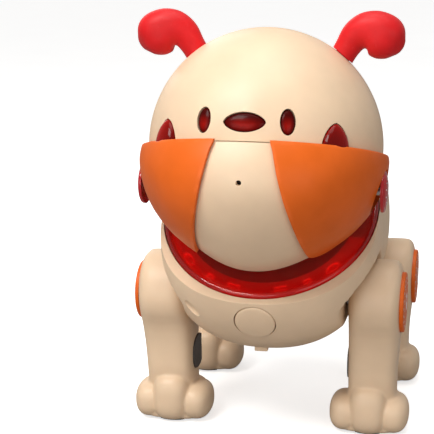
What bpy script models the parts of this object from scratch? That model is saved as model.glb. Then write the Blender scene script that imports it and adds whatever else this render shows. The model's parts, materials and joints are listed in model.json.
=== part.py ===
"""Robot bulldog toy: a free-standing electronic pet with a round head on a clear red collar,
a hinged muzzle, turning ears, two pairs of swinging legs and the drive that moves them.
Frame: origin on the floor midway between the four paws, +Z up, the dog faces -Y, its left side is +X.
Lengths below are millimetres; every mesh is scaled to metres when it is finished."""
import math

import bmesh
import bpy
import numpy as np
from mathutils import Matrix, Vector

for old in list(bpy.data.objects):
    bpy.data.objects.remove(old, do_unlink=True)

# ------------------------------------------------------------------ driving dimensions (mm, degrees)
GAP = 0.35                       # air between neighbouring pieces
HEAD_C = (0.0, -56.8, 146.4)     # centre of the round head
HEAD_R = 56.0                    # outside of the dome
HEAD_TILT = 15.0                 # the dome's rim plane looks up by this much
SEAM_Z = -3.9                    # rim plane of the dome, below the head centre, along the tilted axis
DOME_WALL = 2.2
BASE_R = 53.2                    # lower head bowl
NECK_TILT = 37.5                 # neck axis leans forward from vertical
RIM_TILT = 42.7                  # the muzzle's lower rim leans a little more
RIM_DROP = 17.4                  # muzzle's lower rim, below the head centre along the neck axis
COLLAR_C = (0.0, -44.0, 113.0)
COLLAR_R = 53.2
COLLAR_T = 6.0
EYE_AZ, EYE_Z, EYE_W, EYE_H = 19.8, 5.7, 6.4, 11.2
NOSE_Z, NOSE_W, NOSE_H = 4.9, 18.4, 8.6
FANG_AZ = 44.0
JAW_OPEN = 7.0                   # degrees the mouth opens
JAW_PIVOT = (-5.0, -20.0)        # y, z in the tilted head frame
CAP_R = 10.0                     # red cheek caps
BODY_C = (0.0, -42.5, 100.5)
BODY_R = 58.6                    # height of the torso above its centre
BODY_W = 54.4                    # half width
BELLY = 56.8                     # depth of the belly below the centre
CHEST = 51.0                     # reach of the chest in front of the centre
HEAD_CLEAR = 56.8                # ball cleared for the head in the neck opening
BODY_BACK = 107.0                # torso's length behind its widest section
BODY_WALL = 2.4
SPLIT_Y = 4.0                    # seam between the front and rear torso shells
LEG_X = 51.0                     # paw centre from the middle
HIP_F = (-41.4, 67.5)            # y, z of the front hip axis
HIP_R = (41.4, 58.6)
HIP_RAD = 21.0
LEG_IN, LEG_OUT = 40.2, 64.4
DISC_R = 15.0
SHAFT_R = 2.5
MODULE, GEAR_Z, PINION_Z = 0.95, 20, 12
BUTTON_R = 9.8
SOLE_T = 1.6

PALETTE = {
    "cream": ((0.78, 0.60, 0.43), 0.42, 0.0),
    "orange": ((0.80, 0.17, 0.02), 0.40, 0.0),
    "red_rubber": ((0.74, 0.02, 0.03), 0.45, 0.0),
    "red_clear": ((0.45, 0.01, 0.01), 0.12, 0.0),
    "dark": ((0.07, 0.065, 0.065), 0.5, 0.0),
    "rubber": ((0.05, 0.05, 0.05), 0.8, 0.0),
    "steel": ((0.6, 0.6, 0.6), 0.3, 1.0),
    "white_nylon": ((0.8, 0.8, 0.78), 0.5, 0.0),
    "pcb": ((0.02, 0.2, 0.06), 0.45, 0.0),
    "black": ((0.02, 0.02, 0.02), 0.5, 0.0),
    "battery": ((0.1, 0.2, 0.5), 0.4, 0.0),
}
MATS = {}
for slot, (rgb, rough, metal) in PALETTE.items():
    m = bpy.data.materials.new(slot)
    m.use_nodes = True
    p = m.node_tree.nodes["Principled BSDF"]
    p.inputs["Base Color"].default_value = (*rgb, 1)
    p.inputs["Roughness"].default_value = rough
    p.inputs["Metallic"].default_value = metal
    MATS[slot] = m

PARTS = {}      # name -> (object, body)


# ------------------------------------------------------------------ helpers
def make(name, verts, faces, slot="cream"):
    me = bpy.data.meshes.new(name)
    me.from_pydata([tuple(map(float, v)) for v in verts], [], [tuple(int(i) for i in f) for f in faces])
    me.update()
    ob = bpy.data.objects.new(name, me)
    bpy.context.scene.collection.objects.link(ob)
    bm = bmesh.new()
    bm.from_mesh(me)
    bmesh.ops.remove_doubles(bm, verts=bm.verts, dist=0.0005)
    bmesh.ops.recalc_face_normals(bm, faces=bm.faces)
    bm.to_mesh(me)
    bm.free()
    me.materials.append(MATS[slot])
    return ob


def evaluated(ob):
    dg = bpy.context.evaluated_depsgraph_get()
    dg.update()
    me = bpy.data.meshes.new_from_object(ob.evaluated_get(dg), depsgraph=dg)
    ob.modifiers.clear()
    old = ob.data
    ob.data = me
    bpy.data.meshes.remove(old)
    return ob


def boolean(a, b, op="DIFFERENCE", keep=False):
    mod = a.modifiers.new("b", "BOOLEAN")
    mod.operation = op
    mod.object = b
    mod.solver = "EXACT"
    bpy.context.view_layer.update()
    evaluated(a)
    if not keep:
        bpy.data.objects.remove(b, do_unlink=True)
    while len(a.data.materials) > 1:
        a.data.materials.pop()
    return a


def copy(ob, name="copy"):
    c = bpy.data.objects.new(name, ob.data.copy())
    bpy.context.scene.collection.objects.link(c)
    return c


def move(ob, m):
    ob.data.transform(m)
    if m.determinant() < 0:
        ob.data.flip_normals()
    return ob


def revolve(name, profile, n=32, slot="cream"):
    """Closed profile of (radius, height) turned about Z; a point with radius 0 is a pole."""
    verts, rings = [], []
    for r, z in profile:
        if r < 1e-6:
            rings.append([len(verts)])
            verts.append((0, 0, z))
        else:
            rings.append(list(range(len(verts), len(verts) + n)))
            verts += [(r * math.cos(2 * math.pi * i / n), r * math.sin(2 * math.pi * i / n), z) for i in range(n)]
    faces = []
    for k in range(len(profile)):
        a, b = rings[k], rings[(k + 1) % len(profile)]
        if len(a) == 1 and len(b) == 1:
            continue
        for i in range(n):
            j = (i + 1) % n
            f = [a[i % len(a)], a[j % len(a)], b[j % len(b)], b[i % len(b)]]
            f = [v for q, v in enumerate(f) if v not in f[:q]]
            if len(f) > 2:
                faces.append(f)
    return make(name, verts, faces, slot)


def solid_rev(name, profile, n=32, slot="cream"):
    """As revolve, for a profile that starts and ends on the axis."""
    verts, rings = [], []
    for r, z in profile:
        if r < 1e-6:
            rings.append([len(verts)])
            verts.append((0, 0, z))
        else:
            rings.append(list(range(len(verts), len(verts) + n)))
            verts += [(r * math.cos(2 * math.pi * i / n), r * math.sin(2 * math.pi * i / n), z) for i in range(n)]
    faces = []
    for k in range(len(profile) - 1):
        a, b = rings[k], rings[k + 1]
        for i in range(n):
            j = (i + 1) % n
            f = [a[i % len(a)], a[j % len(a)], b[j % len(b)], b[i % len(b)]]
            f = [v for q, v in enumerate(f) if v not in f[:q]]
            if len(f) > 2:
                faces.append(f)
    for end in (0, -1):
        if len(rings[end]) > 1:
            faces.append(rings[end] if end == 0 else rings[end][::-1])
    return make(name, verts, faces, slot)


def cyl(name, r, z0, z1, n=24, slot="cream", r1=None):
    return solid_rev(name, [(r, z0), (r if r1 is None else r1, z1)], n, slot)


def box(name, lo, hi, slot="cream", bevel=0.0):
    x0, y0, z0 = lo
    x1, y1, z1 = hi
    v = [(x, y, z) for x in (x0, x1) for y in (y0, y1) for z in (z0, z1)]
    f = [(0, 1, 3, 2), (4, 6, 7, 5), (0, 4, 5, 1), (2, 3, 7, 6), (0, 2, 6, 4), (1, 5, 7, 3)]
    ob = make(name, v, f, slot)
    if bevel:
        bm = bmesh.new()
        bm.from_mesh(ob.data)
        bmesh.ops.bevel(bm, geom=bm.edges, offset=bevel, segments=1, affect="EDGES", profile=0.5)
        bm.to_mesh(ob.data)
        bm.free()
    return ob


def prism(name, outline, z0, z1, slot="cream"):
    """Polygon (x, y) extruded from z0 to z1."""
    n = len(outline)
    v = [(x, y, z0) for x, y in outline] + [(x, y, z1) for x, y in outline]
    f = [tuple(range(n))[::-1], tuple(range(n, 2 * n))]
    f += [(i, (i + 1) % n, n + (i + 1) % n, n + i) for i in range(n)]
    return make(name, v, f, slot)


def ellipsoid(name, c, r, nu=14, nv=8, slot="cream"):
    prof = [(math.sin(math.pi * k / nv), -math.cos(math.pi * k / nv)) for k in range(nv + 1)]
    prof[0], prof[-1] = (0, -1), (0, 1)
    ob = solid_rev(name, prof, nu, slot)
    ob.data.transform(Matrix.Translation(c) @ Matrix.Diagonal((*r, 1)))
    return ob


def strip_shell(name, outer, inner, slot="cream"):
    """Closed shell between two equal grids [row][column] of points."""
    outer, inner = np.asarray(outer, float), np.asarray(inner, float)
    rows, cols = outer.shape[:2]
    verts = list(outer.reshape(-1, 3)) + list(inner.reshape(-1, 3))
    o = lambda i, j: i * cols + j
    k = rows * cols
    faces = []
    for i in range(rows - 1):
        for j in range(cols - 1):
            faces.append((o(i, j), o(i, j + 1), o(i + 1, j + 1), o(i + 1, j)))
            faces.append((k + o(i, j), k + o(i + 1, j), k + o(i + 1, j + 1), k + o(i, j + 1)))
    for j in range(cols - 1):
        faces.append((o(0, j), k + o(0, j), k + o(0, j + 1), o(0, j + 1)))
        faces.append((o(rows - 1, j), o(rows - 1, j + 1), k + o(rows - 1, j + 1), k + o(rows - 1, j)))
    for i in range(rows - 1):
        faces.append((o(i, 0), o(i + 1, 0), k + o(i + 1, 0), k + o(i, 0)))
        faces.append((o(i, cols - 1), k + o(i, cols - 1), k + o(i + 1, cols - 1), o(i + 1, cols - 1)))
    return make(name, verts, faces, slot)


def aim(axis, at=(0, 0, 0), up=(0, 0, 1)):
    """Matrix carrying local +Z onto axis, placed at a point."""
    z = Vector(axis).normalized()
    u = Vector(up)
    if abs(z.dot(u)) > 0.99:
        u = Vector((0, 1, 0))
    x = u.cross(z).normalized()
    y = z.cross(x)
    m = Matrix((x, y, z)).transposed().to_4x4()
    return Matrix.Translation(at) @ m


def keep(ob, name, body, slot=None):
    ob.name = name
    ob.data.name = name
    if slot:
        ob.data.materials.clear()
        ob.data.materials.append(MATS[slot])
    PARTS[name] = (ob, body)
    return ob


def mirror_x(ob, name):
    c = copy(ob, name)
    return move(c, Matrix.Scale(-1, 4, (1, 0, 0)))


# ------------------------------------------------------------------ frames
t = math.radians(HEAD_TILT)
HEAD_M = Matrix.Translation(HEAD_C) @ Matrix(((1, 0, 0, 0), (0, math.cos(t), math.sin(t), 0), (0, -math.sin(t), math.cos(t), 0), (0, 0, 0, 1)))
nu = math.radians(NECK_TILT)
NECK = Vector((0, -math.sin(nu), math.cos(nu)))       # neck axis, towards the head
DOWN = Vector((0, -math.cos(nu), -math.sin(nu)))      # in the collar plane, towards the chest
EX = Vector((1, 0, 0))
HC = Vector(HEAD_C)
CC = Vector(COLLAR_C)
DROP = (HC - CC).dot(NECK)                            # head centre above the collar plane
AX = HC - NECK * DROP                                 # neck axis where it meets the collar plane
NECK_M = Matrix((EX, -DOWN, NECK)).transposed().to_4x4()   # local z along the neck, local -y to the chest


def neck_at(point):
    return Matrix.Translation(point) @ NECK_M


def head_local(p):
    return HEAD_M.inverted() @ Vector(p)


# ------------------------------------------------------------------ torso shape
def torso_solid(name, shrink=0.0, nu_=24):
    a, b = BODY_R - shrink, BODY_BACK - shrink
    pc, pf = 2.3, 2.35
    stations = []
    for k in range(7, 0, -1):
        al = math.radians(90 * k / 8)
        stations.append((-(CHEST - shrink) * math.sin(al) ** (2 / pf), math.cos(al) ** (2 / pf)))
    stations.append((0.0, 1.0))
    for s in (0.2, 0.4, 0.58, 0.72, 0.83, 0.91, 0.97):
        stations.append((b * s, (1 - s ** 6) ** (1 / 2.4)))
    verts, rings = [(0, -(CHEST - shrink), 0)], []
    for y, f in stations:
        sink = -12.0 * (max(y, 0) / BODY_BACK) ** 1.5
        ring = []
        for i in range(nu_):
            an = 2 * math.pi * i / nu_
            c, s = math.cos(an), math.sin(an)
            x = (BODY_W - shrink) * f * math.copysign(abs(c) ** (2 / pc), c)
            z = (a if s > 0 else a * BELLY / BODY_R) * f * math.copysign(abs(s) ** (2 / pc), s) + sink
            ring.append(len(verts))
            verts.append((x, y, z))
        rings.append(ring)
    end = len(verts)
    verts.append((0, b, -12.0))
    faces = []
    for r0, r1 in zip(rings, rings[1:]):
        for i in range(nu_):
            j = (i + 1) % nu_
            faces.append((r0[i], r0[j], r1[j], r1[i]))
    for i in range(nu_):
        j = (i + 1) % nu_
        faces.append((0, rings[0][j], rings[0][i]))
        faces.append((end, rings[-1][i], rings[-1][j]))
    ob = make(name, verts, faces)
    ob.data.transform(Matrix.Translation(BODY_C))
    return ob


def hip_recess(name, hip, grow=0.0, x0=38.6):
    """Room for a swinging leg: a disc round the hip that opens downwards."""
    y, z = hip
    r = HIP_RAD + 3.2 + grow
    ahead = (8.4 if y < 0 else 4.0)
    pts = []
    for k in range(0, 15):
        an = math.radians(180 * k / 14)
        c = math.cos(an)
        pts.append((y + (r + 3.0) * c if c > 0 else y + (r + ahead) * c, z + r * math.sin(an)))
    pts.append((y - r - ahead, z - 14))
    pts.append((y - r - ahead - 9, z - 70))
    pts.append((y + r + 12, z - 70))
    pts.append((y + r + 3, z - 14))
    ob = prism(name, pts, x0 - grow, 90)
    # prism's x, y, z become y, z, x
    return move(ob, Matrix(((0, 0, 1, 0), (1, 0, 0, 0), (0, 1, 0, 0), (0, 0, 0, 1))))


def torso_shells():
    outer, inner = torso_solid("outer"), torso_solid("inner", BODY_WALL, 20)
    for hip in (HIP_F, HIP_R):
        for side in (1, -1):
            r = hip_recess("r", hip)
            g = hip_recess("g", hip, BODY_WALL)
            if side < 0:
                move(r, Matrix.Scale(-1, 4, (1, 0, 0)))
                move(g, Matrix.Scale(-1, 4, (1, 0, 0)))
            boolean(outer, r)
            boolean(inner, g)
    # the neck opening
    above = move(box("above", (-90, -90, 0), (90, 90, 120)), neck_at(CC))
    boolean(outer, above)
    above = move(box("above", (-90, -90, -9), (90, 90, 120)), neck_at(CC))
    boolean(inner, above)
    boolean(outer, inner)
    boolean(outer, move(cyl("seat", COLLAR_R + 0.5, -COLLAR_T - 0.35, 20, 48), neck_at(CC)))
    boolean(outer, move(cyl("throat", 37.0, -30, 5, 24), neck_at(AX)))
    boolean(outer, ellipsoid("head", HC, (HEAD_CLEAR,) * 3, 28, 16))
    # hip shaft holes
    for y, z in (HIP_F, HIP_R):
        boolean(outer, move(cyl("h", SHAFT_R + 1.0, -80, 80, 16), Matrix.Translation((0, y, z)) @ Matrix.Rotation(math.pi / 2, 4, "Y")))
    return outer


torso = torso_shells()
# battery bay in the belly
BAY = (-19.0, -18.6, 19.0, 28.6)     # x0, y0, x1, y1
belly_z = BODY_C[2] - BODY_R
boolean(torso, box("bay", (BAY[0], BAY[1], 20), (BAY[2], BAY[3], 60)))
front = copy(torso, "front")
boolean(front, box("cut", (-100, SPLIT_Y - 0.15, -50), (100, 200, 300)))
rear = torso
boolean(rear, box("cut", (-100, -200, -50), (100, SPLIT_Y + 0.2, 300)))


# ------------------------------------------------------------------ chest button
BUT_DIR = Vector((0, -math.cos(math.radians(26.5)), -math.sin(math.radians(26.5)))).normalized()


def surface_hit(ob, origin, direction):
    """Distance along a ray to an object's outside, from far away inwards."""
    o = Vector(origin) + Vector(direction) * 150
    ok, loc, nor, idx = ob.ray_cast(o, -Vector(direction))
    return (loc - Vector(origin)).length


BUT_BASE = Vector((0, BODY_C[1], 90.0))
but_d = surface_hit(front, BUT_BASE, BUT_DIR)
BUT_M = aim(BUT_DIR, BUT_BASE + BUT_DIR * but_d)
# guide tube behind the button, part of the front shell
boolean(front, move(cyl("tube", BUTTON_R + 2.3, -7.5, -1.3, 24), BUT_M), "UNION")
boolean(front, move(cyl("bh", BUTTON_R + 0.4, -12, 6, 24), BUT_M))
keep(front, "torso_front_shell", "torso", "cream")
keep(rear, "torso_rear_shell", "torso", "cream")
button = solid_rev("b", [(0, -9.0), (6.0, -9.0), (6.0, -6.0), (BUTTON_R, -6.0), (BUTTON_R, -0.2), (BUTTON_R - 0.9, 0.7), (0, 1.3)], 24)
keep(move(button, BUT_M), "chest_button", "chest_button", "cream")
switch = solid_rev("s", [(0, -15.0), (2.9, -15.0), (2.9, -12.4), (1.6, -12.4), (1.6, -11.0), (0, -11.0)], 12)
keep(move(switch, BUT_M), "chest_button_switch", "torso", "black")

# ------------------------------------------------------------------ collar, its lamp board and the neck bearing
collar = revolve("c", [(COLLAR_R, -5.9), (COLLAR_R, 0.2), (COLLAR_R - 1.2, 1.4), (46, 1.5), (40, 0.6), (34, -1.0), (34, -5.9)], 40)
move(collar, neck_at(CC))
boolean(collar, move(cyl("eye", 42.2, -20, 20, 28), neck_at(AX)))
boolean(collar, ellipsoid("head", HC, (HEAD_CLEAR,) * 3, 28, 16))
# pocket underneath for the lamp board, at the front of the crescent
pocket = cyl("p", COLLAR_R - 2.4, -9, -3.0, 32)
move(pocket, neck_at(CC))
boolean(pocket, move(cyl("eye", 44.6, -20, 20, 24), neck_at(AX)))
boolean(pocket, move(box("backcut", (-80, -1, -20), (80, 80, 20)), neck_at(CC)))
boolean(collar, pocket)
boolean(collar, move(cyl("notch", BUTTON_R + 2.9, -14, 9, 24), BUT_M))
keep(collar, "collar_ring", "torso", "red_clear")
board = cyl("lb", COLLAR_R - 3.0, -5.2, -4.0, 32)
move(board, neck_at(CC))
boolean(board, move(cyl("eye", 45.2, -20, 20, 24), neck_at(AX)))
boolean(board, move(box("backcut", (-80, -14, -20), (80, 80, 20)), neck_at(CC)))
boolean(board, move(cyl("notch", BUTTON_R + 3.2, -14, 9, 24), BUT_M))
keep(board, "collar_lamp_board", "torso", "pcb")

bearing = revolve("nb", [(41.0, -45.4), (41.0, -47.4), (36.0, -47.4), (21.5, -60.5), (16.0, -60.5), (16.0, -57.5), (20.0, -57.5), (34.6, -45.4)], 20)
keep(move(bearing, neck_at(HC)), "neck_bearing", "torso", "dark")
post = revolve("np", [(15.6, -50.6), (15.6, -60.9), (20.5, -60.9), (20.5, -63.4), (9.0, -63.4), (9.0, -48.6), (17.6, -48.6), (17.6, -50.6)], 20)
keep(move(post, neck_at(HC)), "neck_post", "head", "dark")

# ------------------------------------------------------------------ head: dome, lower bowl, light guide
def arc(r, z0, z1, n):
    a0, a1 = math.asin(max(-1, min(1, z0 / r))), math.asin(max(-1, min(1, z1 / r)))
    return [(r * math.cos(a0 + (a1 - a0) * k / n), r * math.sin(a0 + (a1 - a0) * k / n)) for k in range(n + 1)]


ri = HEAD_R - DOME_WALL
profile = arc(HEAD_R, SEAM_Z, HEAD_R, 9)
profile[-1] = (0, HEAD_R)
inside = arc(ri, SEAM_Z, ri, 6)[::-1]
inside[0] = (0, ri)
dome = revolve("dome", profile + inside, 32)


def radial(az, z, r=HEAD_R):
    """Direction in the tilted head frame for an azimuth from the front (+ is the dog's left) and a height."""
    h = math.sqrt(max(r * r - z * z, 0))
    a = math.radians(az)
    return Vector((h * math.sin(a), -h * math.cos(a), z)).normalized()


def oval_plug(w, h, r0, r1, az, z, n=20, lens=False, grow=0.0):
    """Prism of oval (or almond) section standing along the head's radius."""
    pts = []
    for k in range(n):
        a = 2 * math.pi * k / n
        c, s = math.cos(a), math.sin(a)
        if lens:
            y = math.copysign(abs(s) ** 1.25, s) * (h / 2 + grow) * (1.0 if s < 0 else 0.96)
            x = c * (w / 2 + grow)
        else:
            x, y = c * (w / 2 + grow), s * (h / 2 + grow)
        pts.append((x, y))
    ob = prism("plug", pts, r0, r1)
    return move(ob, aim(radial(az, z), (0, 0, 0)))


def fang_notch(side, grow):
    """Arch-topped opening through the dome's edge for a fang."""
    d = radial(side * FANG_AZ, 0)
    w, top = 5.4 + grow, 5.6 + grow
    pts = [(-w - 1.4, -14), (w + 1.4, -14)]
    for k in range(0, 11):
        a = math.radians(180 * k / 10)
        pts.append((w * math.cos(a) * (1.0 if k not in (0, 10) else 1.06), -3.5 + (top + 3.5) * math.sin(a) ** 0.85))
    return move(prism("n", pts, 45, 70), aim(d, (0, 0, 0)))


guide_o = arc(ri - 0.7, -2.4, 16, 3)
guide_i = arc(ri - 2.7, -2.4, 16, 3)[::-1]
guide = revolve("g", guide_o + guide_i, 32)
boolean(guide, move(prism("w", [(-80, 80), (-80, 6), (0, -6), (80, 6), (80, 80)], -20, 40), Matrix.Translation((0, -18, 0))))
for az, z, w, h, lens in ((EYE_AZ, EYE_Z, EYE_W, EYE_H, False), (-EYE_AZ, EYE_Z, EYE_W, EYE_H, False), (0, NOSE_Z, NOSE_W, NOSE_H, True)):
    boolean(dome, oval_plug(w, h, 45, 65, az, z, lens=lens, grow=0.35))
    boolean(guide, oval_plug(w, h, ri - 2.2, HEAD_R - 1.0, az, z, lens=lens), "UNION")
for side in (1, -1):
    boolean(dome, fang_notch(side, 1.0))
    boolean(guide, fang_notch(side, 2.6))

EAR_BASE = Vector((35.8, 7.6, 43.5))       # from the head centre, in the room's axes
EAR_AX = EAR_BASE.normalized()
for side in (1, -1):
    ax = Vector((side * EAR_AX.x, EAR_AX.y, EAR_AX.z))
    m = HEAD_M.inverted() @ aim(ax, HC)
    boolean(dome, move(cyl("eh", 4.4, 40, 70, 20), m))
keep(move(dome, HEAD_M), "head_dome", "head", "cream")
keep(move(guide, HEAD_M), "face_light_guide", "head", "red_clear")

b_o = arc(BASE_R, -BASE_R, SEAM_Z - 0.4, 7)
b_o[0] = (0, -BASE_R)
b_i = arc(BASE_R - 2.6, -(BASE_R - 2.6), SEAM_Z - 0.4, 5)[::-1]
b_i[-1] = (0, -(BASE_R - 2.2))
base = move(revolve("base", b_i + b_o, 26), HEAD_M)
boolean(base, move(cyl("nh", 18.0, -70, -40, 28), neck_at(HC)))
# bosses for the jaw pins
PIV = HEAD_M @ Vector((0, *JAW_PIVOT))
XROT = Matrix.Rotation(math.pi / 2, 4, "Y")
boolean(base, move(cyl("ph", 2.4, -70, 70, 16), Matrix.Translation(PIV) @ XROT))
keep(base, "head_bowl", "head", "cream")

# ------------------------------------------------------------------ muzzle
def bulge(d_local):
    az = math.degrees(math.atan2(d_local.x, -d_local.y))
    el = math.degrees(math.asin(max(-1, min(1, d_local.z))))
    hor = math.exp(-(abs(az) / 56.0) ** 2.2) if abs(d_local.z) < 0.999 else 1
    # near the underside the azimuth loses its meaning, so fade to the centre's value
    k = min(1, max(0, (-el - 50) / 35))
    hor = hor * (1 - k) + k * math.exp(-(abs(d_local.x) / 0.62) ** 2)
    e = -el
    if e < 28:
        v = 0.12 + 0.88 * math.sin(math.radians(90 * max(0, e - 2) / 26))
    else:
        v = 1.0 - 0.42 * ((e - 28) / 50) ** 1.5
    return 9.6 * hor * v


def muzzle_r(d_world, off=0.0):
    return 56.7 + bulge((HEAD_M.to_3x3().inverted() @ d_world).normalized()) + off


rt = math.radians(RIM_TILT)
RIM_AX = Vector((0, -math.sin(rt), math.cos(rt)))
RIM_DOWN = Vector((0, -math.cos(rt), -math.sin(rt)))


def ndir(psi, eps):
    ps, ep = math.radians(psi), math.radians(eps)
    return math.cos(ep) * (math.sin(ps) * EX + math.cos(ps) * RIM_DOWN) + math.sin(ep) * RIM_AX


LEVEL = HEAD_M.to_3x3().inverted()
HEEL = math.radians(JAW_OPEN + 0.9)


def eps_range(psi, off, top=SEAM_Z - 0.35):
    """Angles at which the muzzle's surface meets its lower rim plane and the dome's rim plane."""
    def f_top(e):
        # behind the hinge the top edge slopes down, so that it clears the dome when the mouth opens
        p = LEVEL @ (ndir(psi, e) * muzzle_r(ndir(psi, e), off))
        over = (p.z - JAW_PIVOT[1]) * math.cos(HEEL) + (p.y - JAW_PIVOT[0]) * math.sin(HEEL)
        return max(p.z - top, over - (top - JAW_PIVOT[1]))

    def solve(fn, lo, hi):
        flo = fn(lo)
        for _ in range(36):
            mid = (lo + hi) / 2
            if (fn(mid) > 0) == (flo > 0):
                lo = mid
            else:
                hi = mid
        return lo
    f_rim = lambda e: muzzle_r(ndir(psi, e), off) * math.sin(math.radians(e)) + RIM_DROP
    return solve(f_rim, -40, 20), solve(f_top, -60, 80)


XB = [(-60, 27.5), (-50, 25.0), (-42, 22.6), (-30, 19.0), (-18, 15.9), (-8, 13.6), (-4, 12.2), (10, 11.0)]


def xb(z):
    return float(np.interp(z, [p[0] for p in XB], [p[1] for p in XB]))


def psi_edge(frac, off, side_gap=0.0):
    """Azimuth where the cream strip gives way to the cheek, at a fraction of the height."""
    lo, hi = 0.0, 75.0
    for _ in range(30):
        mid = (lo + hi) / 2
        e0, e1 = eps_range(mid, off)
        d = ndir(mid, e0 + (e1 - e0) * frac)
        p = d * muzzle_r(d, off)
        z = (HEAD_M.to_3x3().inverted() @ p).z
        if p.x < xb(z) + side_gap:
            lo = mid
        else:
            hi = mid
    return lo


PSI_END = 90.0


def muzzle_grid(psis_of_row, fracs, off_fn):
    rows = []
    for fr in fracs:
        row = []
        for psi in psis_of_row(fr):
            e0, e1 = eps_range(psi, 0.0)
            d = ndir(psi, e0 + (e1 - e0) * fr)
            row.append(HC + d * off_fn(d))
        rows.append(row)
    return rows


fr_m = [0, 0.16, 0.34, 0.52, 0.70, 0.86, 1.0]
psi_m = [PSI_END * (-1 + 2 * k / 18) for k in range(19)]
m_out = muzzle_grid(lambda f: psi_m, fr_m, lambda d: muzzle_r(d))
m_in = muzzle_grid(lambda f: psi_m, fr_m, lambda d: max(54.4, muzzle_r(d) - 2.2))
muzzle = strip_shell("muzzle", m_out, m_in)
MIC_DIR = (HEAD_M.to_3x3() @ Vector((0, -math.cos(math.radians(20)), -math.sin(math.radians(20))))).normalized()
MIC_R = muzzle_r(MIC_DIR)
boolean(muzzle, move(cyl("mh", 1.2, 40, 80, 12), aim(MIC_DIR, HC)))
for side in (1, -1):
    boolean(muzzle, move(cyl("ph", 2.4, 40, 75, 16), Matrix.Translation(PIV) @ Matrix.Rotation(side * math.pi / 2, 4, "Y")))

keep(muzzle, "muzzle_shell", "jaw", "cream")
mic = move(cyl("mic", 3.0, MIC_R - 6.8, MIC_R - 4.0, 14), aim(MIC_DIR, HC))
keep(mic, "microphone", "jaw", "black")

fr_j = [0, 0.14, 0.34, 0.54, 0.74, 0.9, 1.0]


def jowl_psis(fr, n=10):
    a = psi_edge(fr, 0.0)
    return [a + (PSI_END - a) * (k / (n - 1)) for k in range(n)]


j_out = muzzle_grid(jowl_psis, fr_j, lambda d: muzzle_r(d) + 2.9)
j_in = muzzle_grid(jowl_psis, fr_j, lambda d: muzzle_r(d) + 0.8)
jowl = strip_shell("jowl", j_out, j_in)
boolean(jowl, move(cyl("ch", CAP_R + 0.4, 40, 80, 24), Matrix.Translation(PIV) @ XROT))
keep(mirror_x(jowl, "jr"), "jowl_right", "jaw", "orange")
keep(jowl, "jowl_left", "jaw", "orange")
cap_x = 56.6
cap = solid_rev("cap", [(0, cap_x + 0.3), (CAP_R, cap_x + 0.3), (CAP_R, cap_x + 1.4), (CAP_R - 1.0, cap_x + 2.3), (0, cap_x + 3.2)], 24)
boolean(cap, cyl("pin_bore", 2.3, cap_x - 4, cap_x + 1.0, 14))
move(cap, Matrix.Translation(PIV) @ XROT)
keep(mirror_x(cap, "cr"), "cheek_cap_right", "jaw", "red_clear")
keep(cap, "cheek_cap_left", "jaw", "red_clear")
pin = solid_rev("pin", [(0, 41.2), (3.6, 41.2), (3.6, 43.2), (1.95, 43.2), (1.95, cap_x + 0.6), (0, cap_x + 0.6)], 14)
move(pin, Matrix.Translation(PIV) @ XROT)
keep(mirror_x(pin, "pr"), "jaw_pin_right", "head", "steel")
keep(pin, "jaw_pin_left", "head", "steel")

# ------------------------------------------------------------------ fangs: rounded cones standing on the cheeks
def fang(side):
    d = radial(side * FANG_AZ, 0.0)
    prof = [(0, -13.0), (4.6, -13.0), (5.3, -6.0), (5.2, -3.0), (4.5, 0.5), (3.2, 3.4), (1.7, 5.1), (0, 5.7)]
    ob = solid_rev("fang", prof, 20)
    out = Vector((d.x, d.y, 0)).normalized()
    lift = Matrix.Translation(out * 55.2)
    # flattened front to back, leaning on the curve of the dome
    sq = Matrix.Rotation(math.atan2(out.y, out.x), 4, "Z") @ Matrix.Diagonal((0.72, 1, 1, 1))
    move(ob, HEAD_M @ lift @ sq)
    # nothing of it may reach inside the head's bowl or dome guide, or under the muzzle's inner wall
    core = move(cyl("core", 54.0, -60, 60, 48), HEAD_M)
    boolean(ob, core)
    boolean(ob, copy(PARTS["muzzle_shell"][0], "mc_%d" % side))
    return ob


def fang_seat(side, target):
    d = radial(side * FANG_AZ, 0.0)
    out = Vector((d.x, d.y, 0)).normalized()
    ob = solid_rev("seat", [(0, -13.6), (5.1, -13.6), (5.8, -6.0), (5.7, -3.0), (5.7, 6.0), (0, 6.0)], 20)
    sq = Matrix.Rotation(math.atan2(out.y, out.x), 4, "Z") @ Matrix.Diagonal((0.76, 1, 1, 1))
    move(ob, HEAD_M @ Matrix.Translation(out * 55.2) @ sq)
    boolean(target, ob)


for side, nm in ((1, "left"), (-1, "right")):
    fang_seat(side, PARTS["muzzle_shell"][0])
    fang_seat(side, PARTS["jowl_" + nm][0])
for side, nm in ((1, "left"), (-1, "right")):
    keep(fang(side), "fang_" + nm, "jaw", "red_clear")

# ------------------------------------------------------------------ lamp board behind the face
hb = box("hb", (-21, -43.4, -1.5), (21, -41.8, 15))
for x in (-15.5, 0, 15.5):
    led = box("led", (x - 2, -45.0 if abs(x) > 1 else -46.0, 3), (x + 2, -42.8, 7))
    boolean(hb, led, "UNION")
keep(move(hb, HEAD_M), "face_lamp_board", "head", "pcb")

# ------------------------------------------------------------------ ears
EAR_LINE = [((-1.2, -1.8), 5.9), ((2.2, 3.9), 6.1), ((5.8, 8.9), 7.3), ((10.2, 11.1), 8.9), ((14.5, 10.9), 10.2),
            ((18.0, 9.4), 10.8), ((21.4, 7.5), 10.3), ((24.4, 5.6), 8.2), ((26.4, 4.3), 5.0)]


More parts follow.
